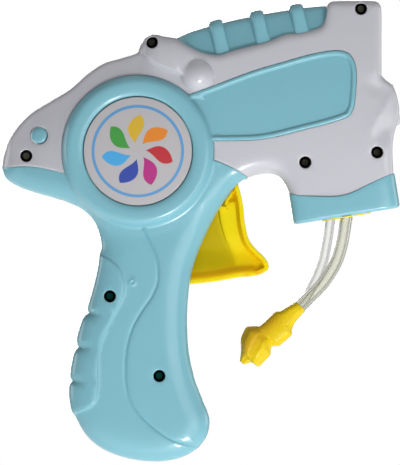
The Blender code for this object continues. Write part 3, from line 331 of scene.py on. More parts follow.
def makeMouldGrain():  # clouded tint, uneven gloss and fine texture of moulded plastic, from three noises
    group = bpy.data.node_groups.new("mouldGrain", "ShaderNodeTree")
    for size, value, *_ in grainLook["noises"]:
        group.interface.new_socket(size, in_out="INPUT", socket_type="NodeSocketFloat").default_value = value
    for name in ("Tint", "Gloss", "Height", "WearAndHighlight"):
        group.interface.new_socket(name, in_out="OUTPUT", socket_type="NodeSocketFloat")
    inputs, outputs = group.nodes.new("NodeGroupInput"), group.nodes.new("NodeGroupOutput")
    place = newNode(group, "TexCoord")
    for size, _, result, detail in grainLook["noises"]:
        noise = newNode(group, "TexNoise", {"Detail": detail})
        link(group, place, "Object", noise, "Vector")
        link(group, inputs, size, noise, "Scale")
        link(group, noise, "Fac", outputs, result)
    # paler sharp edges in patches, from pointiness: rub wear with a painted edge highlight
    shape = newNode(group, "NewGeometry")
    wearAndHighlightEdge = newNode(group, "MapRange", grainLook["wearAndHighlightEdge"])
    link(group, shape, "Pointiness", wearAndHighlightEdge, "Value")
    patchy = mathNode(group, "MULTIPLY", wearAndHighlightEdge.outputs["Result"], noise.outputs["Fac"])
    group.links.new(patchy, outputs.inputs["WearAndHighlight"])
    return group


def plainTree(name):
    material = bpy.data.materials.new(name)
    material.use_nodes = True
    tree = material.node_tree
    return material, tree, tree.nodes["Principled BSDF"]


def addGrain(tree, sizes=None):  # the shared grain, at its own sizes unless others are given
    grain = tree.nodes.new("ShaderNodeGroup")
    grain.node_tree = mouldGrain
    setInputs(grain, sizes or {})
    return grain


def addGloss(tree, shader, grain, gloss, span=(0.0, 1.0)):  # roughness between two values, by the smudges
    rough = newNode(tree, "MapRange", {"From Min": span[0], "From Max": span[1]})
    setInputs(rough, {"To Min": gloss[0], "To Max": gloss[1]})
    link(tree, grain, "Gloss", rough, "Value")
    link(tree, rough, "Result", shader, "Roughness")


def addRelief(tree, shader, grain, strength):  # fine texture of the surface
    relief = newNode(tree, "Bump", {"Strength": strength, "Distance": grainLook["reliefMetres"]})
    link(tree, grain, "Height", relief, "Height")
    link(tree, relief, "Normal", shader, "Normal")


def mixColour(tree, first, second, source, output):  # two colours, or sockets, mixed by an output
    mix = newNode(tree, "Mix")
    mix.data_type = "RGBA"
    for socket, colour in (("A", first), ("B", second)):
        if isinstance(colour, tuple):
            mix.inputs[socket].default_value = (*colour, 1)
        else:
            tree.links.new(colour, mix.inputs[socket])
    link(tree, source, output, mix, "Factor")
    return mix.outputs["Result"]


def mixShaders(tree, source, output, first, second, end):  # two shaders mixed by an output, at the tree's end
    mix = newNode(tree, "MixShader")
    link(tree, source, output, mix, 0)
    link(tree, first, 0, mix, 1)
    link(tree, second, 0, mix, 2)
    link(tree, mix, 0, tree.nodes[end], "Surface")


def mouldedPlastic(name, colour, shade, gloss, masks=(), wearAndHighlight=True):  # masks: (attribute, colour) tints
    material, tree, shader = plainTree(name)
    grain = addGrain(tree)
    tint = mixColour(tree, colour, shade, grain, "Tint")
    for mask, deep in masks:
        painted = newNode(tree, "Attribute")
        painted.attribute_name = mask
        tint = mixColour(tree, tint, deep, painted, "Fac")
    if wearAndHighlight:  # paler on sharp edges: rub wear with a painted edge highlight
        pale = tuple(grainLook["paleEdgeKeeps"] * value + grainLook["paleEdgeAdds"] for value in colour)
        tint = mixColour(tree, tint, pale, grain, "WearAndHighlight")
    tree.links.new(tint, shader.inputs["Base Color"])
    addGloss(tree, shader, grain, gloss, grainLook["glossSpan"])
    addRelief(tree, shader, grain, grainLook["relief"])
    return material


def clearVinyl(name, clear, cloud, edge):  # faintly clouded; painted shade: darker where seen edge on, standing in for the dark rims that refraction shows
    material, tree, shader = plainTree(name)
    grain = addGrain(tree, {"Smudge": 160.0})
    edgeOnShade = newNode(tree, "LayerWeight", {"Blend": 0.6})
    clouded = mixColour(tree, clear, cloud, grain, "Tint")
    tree.links.new(mixColour(tree, clouded, edge, edgeOnShade, "Facing"), shader.inputs["Base Color"])
    addGloss(tree, shader, grain, (0.0, 0.08))
    setInputs(shader, {"Transmission Weight": 1.0, "IOR": 1.35})
    return material


def wornSteel(name, colour, worn, gloss):  # two tones of metal in fine patches
    material, tree, shader = plainTree(name)
    grain = addGrain(tree, {"Cloud": 220.0, "Smudge": 400.0})
    tree.links.new(mixColour(tree, colour, worn, grain, "Tint"), shader.inputs["Base Color"])
    setInputs(shader, {"Metallic": 1.0})
    addGloss(tree, shader, grain, gloss)
    return material


mouldGrain = makeMouldGrain()
tealPlastic = mouldedPlastic("tealPlastic", (0.206, 0.466, 0.546), (0.190, 0.442, 0.520), (0.20, 0.27))
whitePlastic = mouldedPlastic("whitePlastic", (0.526, 0.528, 0.572), (0.503, 0.505, 0.547), (0.20, 0.27))
# painted shade on the yellow parts: olive on the sunk web and amber in the trigger's recesses; tan is an even
# tint on the filter with painted shade on its upper side
yellowMasks = [("oliveWebShade", (0.50, 0.385, 0.001)), ("amberPaintedShade", (0.86, 0.47, 0.001)), ("tan", (0.58, 0.33, 0.012))]
yellowPlastic = mouldedPlastic("yellowPlastic", (0.80, 0.66, 0.002), (0.77, 0.61, 0.002), (0.28, 0.38),
                               yellowMasks, wearAndHighlight=False)
yellowGlow = {
    "Specular IOR Level": 0.15, "Emission Color": (0.80, 0.58, 0.03, 1), "Emission Strength": 0.035,
}
setInputs(yellowPlastic.node_tree.nodes["Principled BSDF"], yellowGlow)  # painted glow: a faint emission lifts the shade of every yellow part, standing in for light seeping through thin plastic
innerPlastic = mouldedPlastic("innerPlastic", (0.62, 0.62, 0.58), (0.56, 0.56, 0.53), (0.40, 0.52))
gearPlastic = mouldedPlastic("gearPlastic", (0.78, 0.76, 0.68), (0.72, 0.70, 0.62), (0.35, 0.48))
tubeVinyl = clearVinyl("tubeVinyl", (0.95, 0.95, 0.94), (0.89, 0.89, 0.87), (0.23, 0.24, 0.225))
# the return tube's vinyl: yellower and darker than the suction tube's
yellowerVinyl = clearVinyl("yellowerVinyl", (0.90, 0.90, 0.85), (0.82, 0.82, 0.74), (0.17, 0.17, 0.125))
screwSteel = wornSteel("screwSteel", (0.13, 0.126, 0.098), (0.21, 0.205, 0.16), (0.45, 0.7))
# painted light: teal light from the grip's walls coloured into the steel of the screws deep in the grip
paintedTealLightSteel = wornSteel("paintedTealLightSteel", (0.008, 0.17, 0.145), (0.012, 0.24, 0.20), (0.45, 0.7))
pinSteel = wornSteel("pinSteel", (0.52, 0.52, 0.53), (0.42, 0.41, 0.40), (0.25, 0.45))
slotFinish = {
    "white_plastic": whitePlastic, "teal_plastic": tealPlastic, "yellow_plastic": yellowPlastic,
    "label_card": whitePlastic, "clear_tube": tubeVinyl, "inner_plastic": innerPlastic,
    "gear_plastic": gearPlastic, "steel": pinSteel,
}
gripScrews = ("case_screw_6", "case_screw_7")  # deep in the teal grip; painted light: their steel is coloured teal, standing in for light from the grip's walls
for row in frame["record"]["subparts"]:  # every solid that stays gets its slot's finish
    finish = slotFinish[row["material_slot"]]
    if row["node"].startswith("case_screw"):
        finish = paintedTealLightSteel if row["node"] in gripScrews else screwSteel
    materials = frame["nodes"][row["node"]].data.materials
    materials.clear()
    materials.append(finish)
print("finishes made")


# hanging tubes and the filter on their ends

collar = {
    "at": (89.5, 53.8), "tilt": 9.2, "half": 23.3, "deep": 18.9, "corner": 6.5, "edge": 1.6, "socket": 16.8,
    "socketDeep": 10.0, "wall": 2.0, "rim": -0.5, "tuck": 2.5, "topEdge": 0.3, "seamGuess": 12.0,
    "seamRise": 0.45, "floorEdge": 0.4, "lip": [(0.8, 0.0), (0.2, 0.2), (0.0, 0.8)],
    "seam": [(64.9, 62.8), (70.5, 62.0), (77.4, 61.7), (84.3, 61.7), (89.4, 62.5), (93.7, 64.2),
        (99.8, 67.3), (104.9, 69.7), (109.6, 71.6)],
}
plug = {
    "radius": 10.6, "proud": 1.1, "collarHole": 10.95, "neck": 12.2, "top": 14.2, "flange": 2, "edge": 0.5,
    "tubeClear": 0.4,
}
tubePitch = 1.6
tubes = {
    "suction": {"node": "suction_tube", "od": 4.2, "bore": 2.9, "hole": (-7.2, 0.8), "endY": 2.6,
        "finish": tubeVinyl, "run": [(82.3, 49.6, 0.8), (81.9, 45.9, 1.0), (81.2, 41.7, 1.2),
        (79.9, 35.0, 1.7), (77.6, 28.4, 2.1), (74.5, 22.1, 2.5)]},
    "return": {"node": "return_tube", "od": 5.4, "bore": 3.5, "hole": (-0.2, -1.0), "endY": -2.4,
        "finish": yellowerVinyl, "run": [(89.1, 50.4, -1.0), (88.6, 46.6, -1.2), (87.5, 40.9, -1.5),
        (85.6, 34.6, -1.9), (82.6, 28.8, -2.2), (78.5, 23.2, -2.4)]},
}
strainer = {
    "at": (68.6, 14.4), "heading": 225.5, "lead": -4.0, "socket": 5.0, "across": -0.8,
    "body": [(-1.2, -3.5, 1.7, 5.4), (-0.9, -3.8, 2.0, 5.8), (0.6, -3.7, 2.3, 6.0), (2.3, -3.8, 2.8, 6.0),
        (4.6, -3.9, 3.4, 6.0), (7.0, -4.4, 4.0, 6.0), (7.6, -4.7, 4.9, 6.0), (8.2, -5.0, 5.3, 6.1),
        (9.5, -5.5, 5.4, 6.1), (9.9, -6.6, 5.4, 6.2), (10.4, -7.0, 5.4, 6.2), (14.5, -6.6, 5.5, 6.0),
        (17.6, -6.4, 5.8, 5.8), (18.2, -6.0, 6.1, 5.4), (19.2, -4.6, 6.9, 4.8), (20.4, -4.2, 7.8, 4.2)],
    "cap": [(17.9, -3.9, 5.9, 4.4), (19.2, -4.0, 7.3, 5.4), (20.8, -4.1, 8.6, 6.2), (21.6, -4.6, 9.2, 6.6),
        (22.5, -5.6, 9.2, 6.7), (23.2, -5.9, 8.9, 6.7), (25.0, -6.0, 8.3, 6.6), (26.8, -6.1, 7.7, 6.4),
        (28.6, -6.1, 5.9, 6.0), (29.9, -6.1, 4.5, 5.4), (30.5, -5.8, 3.9, 4.8), (30.9, -2.6, 3.6, 3.6),
        (32.0, -1.9, 2.8, 2.8), (33.4, -1.4, 1.8, 2.0), (34.2, -0.6, 1.1, 1.2)],
    "square": 3.0, "capSquare": 2.2, "lobes": 6, "lobeDeep": 0.05, "tanAll": 0.42, "upperShade": 0.45,
    "upperShadeAcross": (-2.0, 3.5), "upperShadeFrom": (5.0, 10.0), "upperShadeTo": (36.0, 27.0),
}

strainerTurn = math.radians(strainer["heading"])
collarTurn = math.radians(collar["tilt"])
collarFrame = Matrix.Translation((collar["at"][0], 0, collar["at"][1])) @ Matrix.Rotation(-collarTurn, 4, "Y")


def strainerPoint(along, across, y):  # along the filter's axis, across it in the middle plane, and y
    x = strainer["at"][0] + along * math.cos(strainerTurn) + across * math.sin(strainerTurn)
    z = strainer["at"][1] + along * math.sin(strainerTurn) - across * math.cos(strainerTurn)
    return np.stack(np.broadcast_arrays(x, y, z), -1)


def tubeLoops(path, radius, count=28):  # circles square on to the path
    way = unit(np.gradient(path, axis=0))
    beside = unit(np.cross(way, (0, 1, 0)))
    turn = wholeTurn(count)[None, :, None]
    circles = np.cos(turn) * beside[:, None] + np.sin(turn) * np.cross(way, beside)[:, None]
    return path[:, None] + radius * circles


def makeTube(name, tube):
    ups = (0.0, -plug["proud"] - plug["tubeClear"])
    inPlug = [np.array(collarFrame @ Vector((*tube["hole"], up))) for up in ups]
    free = [(x, y, z) for x, z, y in tube["run"]]
    alongs = (strainer["lead"], 0.0, strainer["socket"])
    inFilter = [strainerPoint(along, strainer["across"], tube["endY"]) for along in alongs]
    path = smoothRun(inPlug + free + inFilter, tubePitch)
    outer, inner = tubeLoops(path, tube["od"] / 2), tubeLoops(path, tube["bore"] / 2)
    piece = loftPiece(name, np.concatenate([outer, inner[::-1], outer[:1]]), capped=False, smooth=60)
    finishPiece(piece, "clear_tube", [tube["node"]], finish=tube["finish"])


def stationLoops(stations, power, lobes=0, lobeDeep=0.0, count=96, pitch=0.4):
    # superellipse at each (along, low, high, half depth), with soft lobes; a running mean eases the corners
    turn = wholeTurn(count)
    bulge = (np.abs(np.cos(turn)) ** power + np.abs(np.sin(turn)) ** power) ** (-1 / power)
    bulge = bulge * (1 + lobeDeep * np.tanh(2 * np.cos(lobes * turn)))
    run = np.pad(evenly(np.array(stations), pitch), ((3, 3), (0, 0)), mode="edge")
    weights = np.array([1, 3, 5, 6, 5, 3, 1]) / 24
    along, low, high, deep = np.stack([np.convolve(column, weights, "valid") for column in run.T])[:, :, None]
    across = (low + high) / 2 + (high - low) / 2 * np.cos(turn) * bulge
    return strainerPoint(along, across, deep * np.sin(turn) * bulge)


def strainerTintAndUpperShade(x, z):  # an even tan tint over the filter, with painted shade making its upper side deeper in colour
    right, up = x - strainer["at"][0], z - strainer["at"][1]
    along = right * math.cos(strainerTurn) + up * math.sin(strainerTurn)
    across = right * math.sin(strainerTurn) - up * math.cos(strainerTurn)
    upper = ease(*strainer["upperShadeAcross"], across) * ease(*strainer["upperShadeFrom"], along)
    return strainer["tanAll"] + strainer["upperShade"] * upper * ease(*strainer["upperShadeTo"], along)


def makeStrainer():
    body = stationLoops(strainer["body"], strainer["square"])
    cap = stationLoops(strainer["cap"], strainer["capSquare"], strainer["lobes"], strainer["lobeDeep"])
    pieces = []
    for name, node, loops in (("filterBody", "filter_body", body), ("filterCap", "filter_cap", cap)):
        pieces.append(loftPiece(name, loops, smooth=75))
        finishPiece(pieces[-1], "yellow_plastic", [node])
        paint(pieces[-1], "tan", strainerTintAndUpperShade)
    return pieces


strainerPieces = makeStrainer()
makeTube("suctionTube", tubes["suction"])
makeTube("returnTube", tubes["return"])
print("tubes and filter made")


# the shells' outline in the middle plane, clockwise from the nose

outline = {
    "noseTop": [(-58.5, 73.9), (-58.4, 75.6), (-57.4, 80.8), (-53.3, 89.2), (-46.4, 96.8), (-37.8, 102.3),
        (-29.2, 107.5), (-21.5, 114.2), (-14.6, 118.7), (-6.9, 121.0), (-1.2, 122.8), (0.0, 123.6)],
    "ear": [(0.0, 123.6), (1.1, 126.8), (3.4, 129.9), (6.9, 131.2), (11.6, 130.3), (16.3, 129.6)],
    "railSeat": [(16.3, 129.6), (22.4, 126.0), (27.9, 123.6), (34.0, 122.7), (39.6, 124.1), (48.2, 126.4),
        (56.8, 128.8), (63.2, 131.3), (69.7, 132.2), (76.1, 133.7), (78.9, 135.4), (80.2, 138.9),
        (80.8, 142.8)],
    "tower": [(80.8, 142.8), (81.9, 144.6), (84.3, 145.5), (93.7, 145.6), (101.5, 145.5), (103.6, 144.3),
        (104.5, 141.0), (104.5, 126.8), (104.5, 113.5)],
    "front": [(104.5, 113.5), (106.4, 111.6), (108.4, 110.1), (109.7, 108.6), (110.6, 106.4),
        (111.4, 103.6), (112.0, 100.2), (112.1, 97.2), (111.7, 94.6), (110.9, 92.0), (110.1, 89.0),
        (109.5, 86.0), (109.2, 81.7), (109.3, 77.4), (109.6, 71.9)],
    "collarSides": [(109.6, 71.9), (111.9, 59.3), (66.9, 51.2), (64.7, 62.9)],
    "arch": [(64.7, 62.9), (63.6, 65.8), (61.5, 69.2), (58.5, 71.2), (54.6, 71.4), (50.5, 70.7),
        (47.3, 69.7)],
    "triggerEdge": [(47.3, 69.7), (43.0, 67.2), (38.7, 61.9), (33.5, 54.0), (28.8, 44.7), (24.9, 35.3),
        (22.8, 27.5), (21.7, 19.8), (21.2, 12.0), (21.2, 4.3), (21.9, -5.2), (24.1, -15.5), (27.5, -24.9),
        (30.3, -31.8), (30.7, -36.1), (29.5, -41.3), (26.2, -46.0)],
    "foot": [(26.2, -46.0), (20.2, -49.7), (12.9, -51.7), (5.2, -52.0), (-3.4, -50.9), (-12.0, -48.2),
        (-18.5, -44.3), (-23.2, -39.3), (-26.9, -32.6)],
    "lowPad": [(-26.9, -32.6), (-28.6, -30.0), (-29.5, -26.0), (-29.8, -22.5), (-29.5, -19.2),
        (-28.3, -17.3)],
    "midPad": [(-28.3, -17.3), (-29.2, -14.7), (-28.3, -8.5), (-27.1, -4.6), (-25.5, -2.9)],
    "highPad": [(-25.5, -2.9), (-26.4, -0.2), (-25.3, 5.0), (-23.5, 9.8), (-21.1, 11.8)],
    "topPad": [(-21.1, 11.8), (-21.7, 13.9), (-19.9, 20.4), (-18.2, 27.0), (-17.0, 33.0), (-16.7, 36.8)],
    "jaw": [(-16.7, 36.8), (-15.7, 40.4), (-17.0, 46.9), (-19.8, 52.5), (-24.9, 56.8), (-32.2, 59.9),
        (-42.1, 62.8), (-49.9, 65.3), (-55.5, 68.4), (-57.6, 71.0), (-58.5, 73.9)],
}
disc = {
    "at": (0.0, 81.1), "radius": 32.6, "well": 23.6, "edge": 19.4, "inner": 20.9, "crest": 21.9,
    "power": 3.2, "innerPower": 4.2, "blend": 1.0, "near": 3.0, "top": (197, 48), "right": (7.8, -6.5),
    "tuck": 3,
    "rows": (23.52, 23.68, 23.9, 24.2, 24.8, 25.6, 26.5, 27.5, 28.6, 29.6, 30.5, 31.3, 31.9, 32.3, 33.2,
        34.2),
}
seams = {
    "gap": 0.15, "wall": 3.0, "least": 0.1, "fillet": 0.25, "filletWide": 0.6, "rows": (0.3, 0.6, 0.95),
    "whiteShares": (1, 0.4, 0.15, 1, 1, 0.15),
    "jaw": [(-58.5, 73.9), (-53.3, 74.4), (-47.3, 74.6), (-40.0, 73.7), (-31.4, 71.6)],
    "lower": [(32.4, 77.4), (37.4, 75.5), (42.1, 73.1), (47.3, 69.7)],
    "panel": [(21.8, 105.3), (33.1, 109.4), (48.2, 115.1), (61.1, 119.0), (74.0, 122.6), (82.6, 124.2),
        (87.7, 124.1), (91.2, 122.3), (93.3, 117.8), (93.7, 111.8), (92.9, 101.5), (91.7, 98.0),
        (90.1, 95.9), (82.6, 93.2), (69.7, 89.9), (58.9, 87.2), (50.3, 85.9), (41.7, 85.6), (32.3, 85.5)],
}
side = {
    "half": 19.0, "gripHalf": 17.2, "gripSpan": (62.0, 38.0), "gripEdgeWide": 14.0, "gripDrop": 8.0,
    "noseFrom": -20.0, "noseTip": -58.5, "noseTaper": 0.5, "taperPower": 1.6, "bow": 2.4, "bowAt": 88.0,
    "bowSpan": 45.0, "edge": 3.6, "edgePower": 2.4, "leastHalf": 3, "noseEdge": 5.4,
    "noseSpan": (-6.0, -34.0), "crownEdge": 1.6, "crownUp": (76.0, 86.0), "crownBack": (8.0, -2.0),
    "archEdge": 8.4, "archDown": (88.0, 74.0), "archBack": (78.0, 58.0), "lean": 0.27, "leanWide": 14.5,
    "leanBack": (10.0, 0.0), "leanUp": (72.0, 100.0), "parting": 0.0, "groove": 0.25, "onEdge": 0.06,
    "rows": (0.12, 0.45, 1.0, 1.8, 2.9, 4.4, 6.4, 9.0),
}
wells = {
    "radius": 2.62, "floor": 6.5, "lipWide": 0.45, "lip": 0.25, "slack": 0.05, "rows": (0, 0.2, 0.45),
    "body": [(-47.9, 79.1), (6.0, 127.8), (95.7, 142.2), (71.8, 76.3), (102.6, 80.6)],
    "grip": [(-12.0, 18.9), (9.2, -15.3)],
}
eye = {
    "at": (-42.4, 87.9), "radius": 3.75, "capRadius": 3.6, "crown": 0.7, "back": -2.0, "brim": -0.2,
    "shoulder": (0.62, 0.75), "round": 0.7, "seat": 0.35, "seatWide": 0.7, "rows": (0, 0.3, 0.7),
}
dome = {
    "at": (25.3, 113.8), "wide": 7.1, "tall": 0.95, "proud": 3.7, "power": 0.85, "blend": 0.8,
    "ridge": [(0.8, 124.6), (2.6, 122.2), (5.4, 119.6), (11.4, 116.8), (16.6, 114.9), (19.4, 113.4)],
    "ridgeProud": 3.0, "ridgeSlope": 0.72, "ridgeFoot": (-0.7, 0.7), "ridgeTop": (16.0, 4.0),
    "ridgeFrom": (0.5, 4.0), "ridgeTo": (27.0, 13.0), "rows": (1.0, 0.97, 0.9, 0.78, 0.6, 0.35),
    "ridgeRows": (-0.9, -0.45, 0.0, 0.45, 0.9),
}
panel = {
    "bead": 0.3, "flat": 1.5, "flank": 1.0, "sink": 0.8, "soft": 0.1, "under": 1.5,
    "rows": (0.1, 0.3, 0.6, 1.0, 1.3, 1.55, 1.8, 2.0, 2.15, 2.5),
}
palm = {
    "raise": 0.75, "stepWide": 0.8, "behind": [(-60.0, -31.9), (-60.0, 37.0)],
    "line": [(-16.8, 37.0), (-14.2, 36.1), (-11.2, 34.4), (-7.7, 31.0), (-6.0, 26.7), (-5.4, 22.8),
        (-6.0, 18.9), (-7.7, 14.6), (-10.3, 9.9), (-12.9, 5.2), (-15.1, 0.0), (-16.3, -5.2), (-16.8, -10.8),
        (-16.8, -17.2), (-17.0, -21.5), (-17.8, -25.8), (-19.8, -28.4), (-22.8, -30.3), (-27.2, -31.9)],
    "groove": [(2.2, 48.2), (4.3, 44.3), (6.9, 38.7), (8.4, 33.5), (8.8, 29.2), (8.2, 24.1), (6.0, 18.9),
        (3.0, 14.6), (0.0, 9.9), (-2.6, 4.7), (-4.3, -0.9), (-5.2, -6.9), (-5.4, -12.9), (-5.2, -18.1),
        (-3.9, -24.1), (-1.7, -28.4), (1.3, -32.3), (5.2, -36.1), (9.5, -39.6), (13.8, -42.4),
        (18.1, -43.9), (22.4, -45.0), (26.2, -45.6)],
    "grooveWide": 0.55, "grooveDeep": 0.6,
    "notches": [[(-21.4, 11.9), (-15.6, 10.6)], [(-25.8, -2.8), (-19.8, -3.6)],
        [(-28.6, -17.2), (-22.6, -18.6)]],
    "notchWide": 0.9, "notchDeep": 0.8, "dot": (-2.2, 24.9), "dotRadius": 1.1, "dotWide": 0.45,
    "dotProud": 0.3, "stepRows": (0.0, 0.25, 0.55, 0.8),
    "grooveRows": (-1.1, -0.7, -0.35, 0.0, 0.35, 0.7, 1.1), "notchRows": (-1.3, -0.65, 0.0, 0.65, 1.3),
    "dotRows": (0.4, 0.8, 1.1, 1.4, 1.9),
}
mouth = {
    "at": (106.6, 100.6), "tilt": 12.0, "radius": 7.6, "from": 104, "valley": 1.6,
    "valleyReach": (11.0, 2.0), "valleyDown": 2, "valleySoft": (0, 0.6), "span": 17.0,
    "crease": [(99.5, 86.5), (110.5, 109.3)], "crest": 0.55, "crestWide": 1.7, "crestFrom": (0, 0.3),
    "crestTo": (1.0, 0.75),
}
triggerSlot = {"half": 8.2, "low": 23.2, "high": 68.3, "back": 20, "front": 44.2}
shellGrid = {"pitch": 1.7, "row": 0.866, "clear": 0.55, "merge": 1e-4}  # an even grid, kept off the lines

runs = {name: smoothRun(points) for name, points in outline.items()}
runs["collarSides"] = evenly(outline["collarSides"], 1.0)
bodyLoop = joined(*runs.values())
bodyLine = closed(bodyLoop)
seamRuns = {name: smoothRun(seams[name]) for name in ("jaw", "lower", "panel")}
collarSeam = smoothRun(collar["seam"])
discTop = arcAt(disc["at"], disc["radius"], *disc["top"])
discRight = arcAt(disc["at"], disc["radius"], *disc["right"])


def sideDepth(p):  # half depth less a bow and the nose's taper, dropping as an ellipse at the outline
    x, z = p.T
    low = ease(*side["gripSpan"], z)
    nose = np.clip((side["noseFrom"] - x) / (side["noseFrom"] - side["noseTip"]), 0, 1)
    half = mixed(side["half"], side["gripHalf"], low) * (1 - side["noseTaper"] * nose ** side["taperPower"])
    half = half - (1 - low) * side["bow"] * ((z - side["bowAt"]) / side["bowSpan"]) ** 2
    edge = mixed(side["edge"], side["noseEdge"], ease(*side["noseSpan"], x))
    edge = mixed(edge, side["crownEdge"], ease(*side["crownUp"], z) * ease(*side["crownBack"], x))
    edge = mixed(edge, side["archEdge"], ease(*side["archDown"], z) * ease(*side["archBack"], x))
    drop = np.minimum(mixed(edge, side["gripDrop"], low), half - side["leastHalf"])
    near = fade(distanceTo(p, bodyLine), mixed(edge, side["gripEdgeWide"], low))
    power = side["edgePower"]
    return half - drop * (1 - (1 - near ** power) ** (1 / power))


def noseDepth(p):  # the side falling away outwards from the ring, over the arch and the upper nose
    x, z = p.T
    beyond = np.clip(fromSpot(p, disc["at"]) - disc["radius"], 0, side["leanWide"])
    return sideDepth(p) - side["lean"] * beyond * ease(*side["leanBack"], x) * ease(*side["leanUp"], z)


def filletAt(p, line):  # small rounding beside a seam
    return seams["fillet"] * fade(distanceTo(p, line), seams["filletWide"]) ** 2


def wellLip(p, spots):  # small rounding round the screw wells
    away = np.min([fromSpot(p, at) for at in spots], axis=0)
    return wells["lip"] * fade(away - wells["radius"], wells["lipWide"]) ** 2


def whiteDepth(p):  # the side with the ridge below the ear, the dome, the muzzle's form and small roundings
    x, z = p.T
    above = (z - np.interp(x, *smoothRun(dome["ridge"]).T)) * dome["ridgeSlope"]
    arm = dome["ridgeProud"] * ease(*dome["ridgeFoot"], above) * ease(*dome["ridgeTop"], above)
    arm = arm * ease(*dome["ridgeFrom"], x) * ease(*dome["ridgeTo"], x)
    ball = 1 - (((p - dome["at"]) / (dome["wide"], dome["wide"] * dome["tall"])) ** 2).sum(1)
    cap = dome["proud"] * np.clip(ball, 0, 1) ** dome["power"]
    depth = noseDepth(p) + np.where(ball > 0, softMaximum(arm, cap, dome["blend"]), arm)
    bulge = ease(*mouth["valleySoft"], fade(np.abs(z - mouth["at"][1] + mouth["valleyDown"]), mouth["span"]))
    depth -= mouth["valley"] * bulge * ease(*mouth["valleyReach"], distanceTo(p, runs["front"]))
    along, off = offSegment(p, *np.array(mouth["crease"]))  # a soft crest beside the muzzle
    crest = mouth["crest"] * np.exp(-(off / mouth["crestWide"]) ** 2)
    depth += crest * ease(*mouth["crestFrom"], along) * ease(*mouth["crestTo"], along)
    for line, share in zip(whiteSeams, seams["whiteShares"]):
        depth -= share * filletAt(p, line)
    seat = fade(fromSpot(p, eye["at"]) - eye["radius"], eye["seatWide"])
    return depth - wellLip(p, wells["body"]) - eye["seat"] * seat ** 2


def ringHeight(r, beside):  # raised ring: highest half way across, falling as a power to both its edges
    across = (r - disc["well"]) / (disc["radius"] - disc["well"]) * 2 - 1
    foot = np.where(across < 0, disc["inner"], np.minimum(disc["edge"], beside))
    power = np.where(across < 0, disc["innerPower"], disc["power"])
    return foot + (disc["crest"] - foot) * (1 - np.clip(np.abs(across), 0, 1) ** power)


def tealDepth(p):  # side, palm pad, grooves, side panel and disc ring
    depth = sideDepth(p)
    raised = ease(0, palm["stepWide"], distanceTo(p, padLine))
    depth += palm["raise"] * np.where(insideLoop(p, padLoop), raised, 0)
    depth -= palm["grooveDeep"] * np.exp(-(distanceTo(p, grooveLine) / palm["grooveWide"]) ** 2)
    for start, stop in np.array(palm["notches"]):
        along, off = offSegment(p, start, stop)
        depth -= palm["notchDeep"] * (1 - along) * np.exp(-(off / palm["notchWide"]) ** 2)
    dot = fromSpot(p, palm["dot"])
    depth += palm["dotProud"] * np.exp(-((dot - palm["dotRadius"]) / palm["dotWide"]) ** 2)
    r = fromSpot(p, disc["at"])
    onPanel = insideLoop(p, panelLoop) & (r > disc["radius"] - panel["under"])
    rim = distanceTo(p, seamRuns["panel"])
    bead = panel["bead"] - (panel["bead"] + seams["fillet"]) * fade(rim, seams["filletWide"]) ** 2
    sunk = ease(panel["flat"] - panel["soft"], panel["flat"] + panel["flank"] + panel["soft"], rim)
    depth += np.where(onPanel, mixed(bead, -panel["sink"], sunk), 0)
    for line in tealSeams:
        depth -= filletAt(p, line)
    depth -= wellLip(p, wells["grip"])
    ring = np.where(r > disc["well"], ringHeight(np.maximum(r, disc["well"]), depth), disc["edge"])
    outer = np.where(r < disc["radius"] + disc["near"], softMaximum(ring, depth, disc["blend"]), depth)
    return np.where(r < disc["well"], disc["edge"], outer)


def triangulated(loop, lines, pitch):  # constrained Delaunay triangles inside the loop, following every line
    lines = [line for line in [closed(loop)] + lines if len(line) > 1]
    low, high = loop.min(0), loop.max(0)
    across, up = np.arange(low[0], high[0], pitch), np.arange(low[1], high[1], pitch * shellGrid["row"])
    u, v = np.meshgrid(across, up)
    u = u + pitch / 2 * (np.arange(len(u)) % 2)[:, None]
    dots = np.stack([u.ravel(), v.ravel()], 1)
    dots = dots[insideLoop(dots, loop)]
    for line in lines:
        dots = dots[distanceTo(dots, line) > pitch * shellGrid["clear"]]
    starts = np.cumsum([0] + [len(line) for line in lines])
    edges = np.vstack([np.stack([np.arange(s, s + len(line) - 1), np.arange(s + 1, s + len(line))], 1)
                       for s, line in zip(starts, lines)])
    points = [Vector(p) for p in np.vstack(lines + [dots])]
    verts, _, faces, *_ = delaunay_2d_cdt(points, edges.tolist(), [], 0, shellGrid["merge"])
    flat = np.array([v[:] for v in verts])
    triangles = np.array([f for f in faces if len(f) == 3])
    triangles = triangles[insideLoop(flat[triangles].mean(1), loop)]
    used, triangles = np.unique(triangles, return_inverse=True)
    flat, triangles = flat[used], triangles.reshape(-1, 3)
    a, b, c = flat[triangles].transpose(1, 0, 2)
    turned = (b[:, 0] - a[:, 0]) * (c[:, 1] - a[:, 1]) - (b[:, 1] - a[:, 1]) * (c[:, 0] - a[:, 0]) < 0
    triangles[turned] = triangles[turned][:, ::-1]
    return flat, triangles


def openEdges(triangles, count):  # edges that only one triangle has
    edges = np.concatenate([triangles[:, [0, 1]], triangles[:, [1, 2]], triangles[:, [2, 0]]])
    _, first, times = np.unique(np.sort(edges, 1) @ (count, 1), return_index=True, return_counts=True)
    return edges[first[times == 1]]


def atDepth(p, y):  # (x, z) points set at a depth
    return np.stack([p[:, 0], y, p[:, 1]], 1)


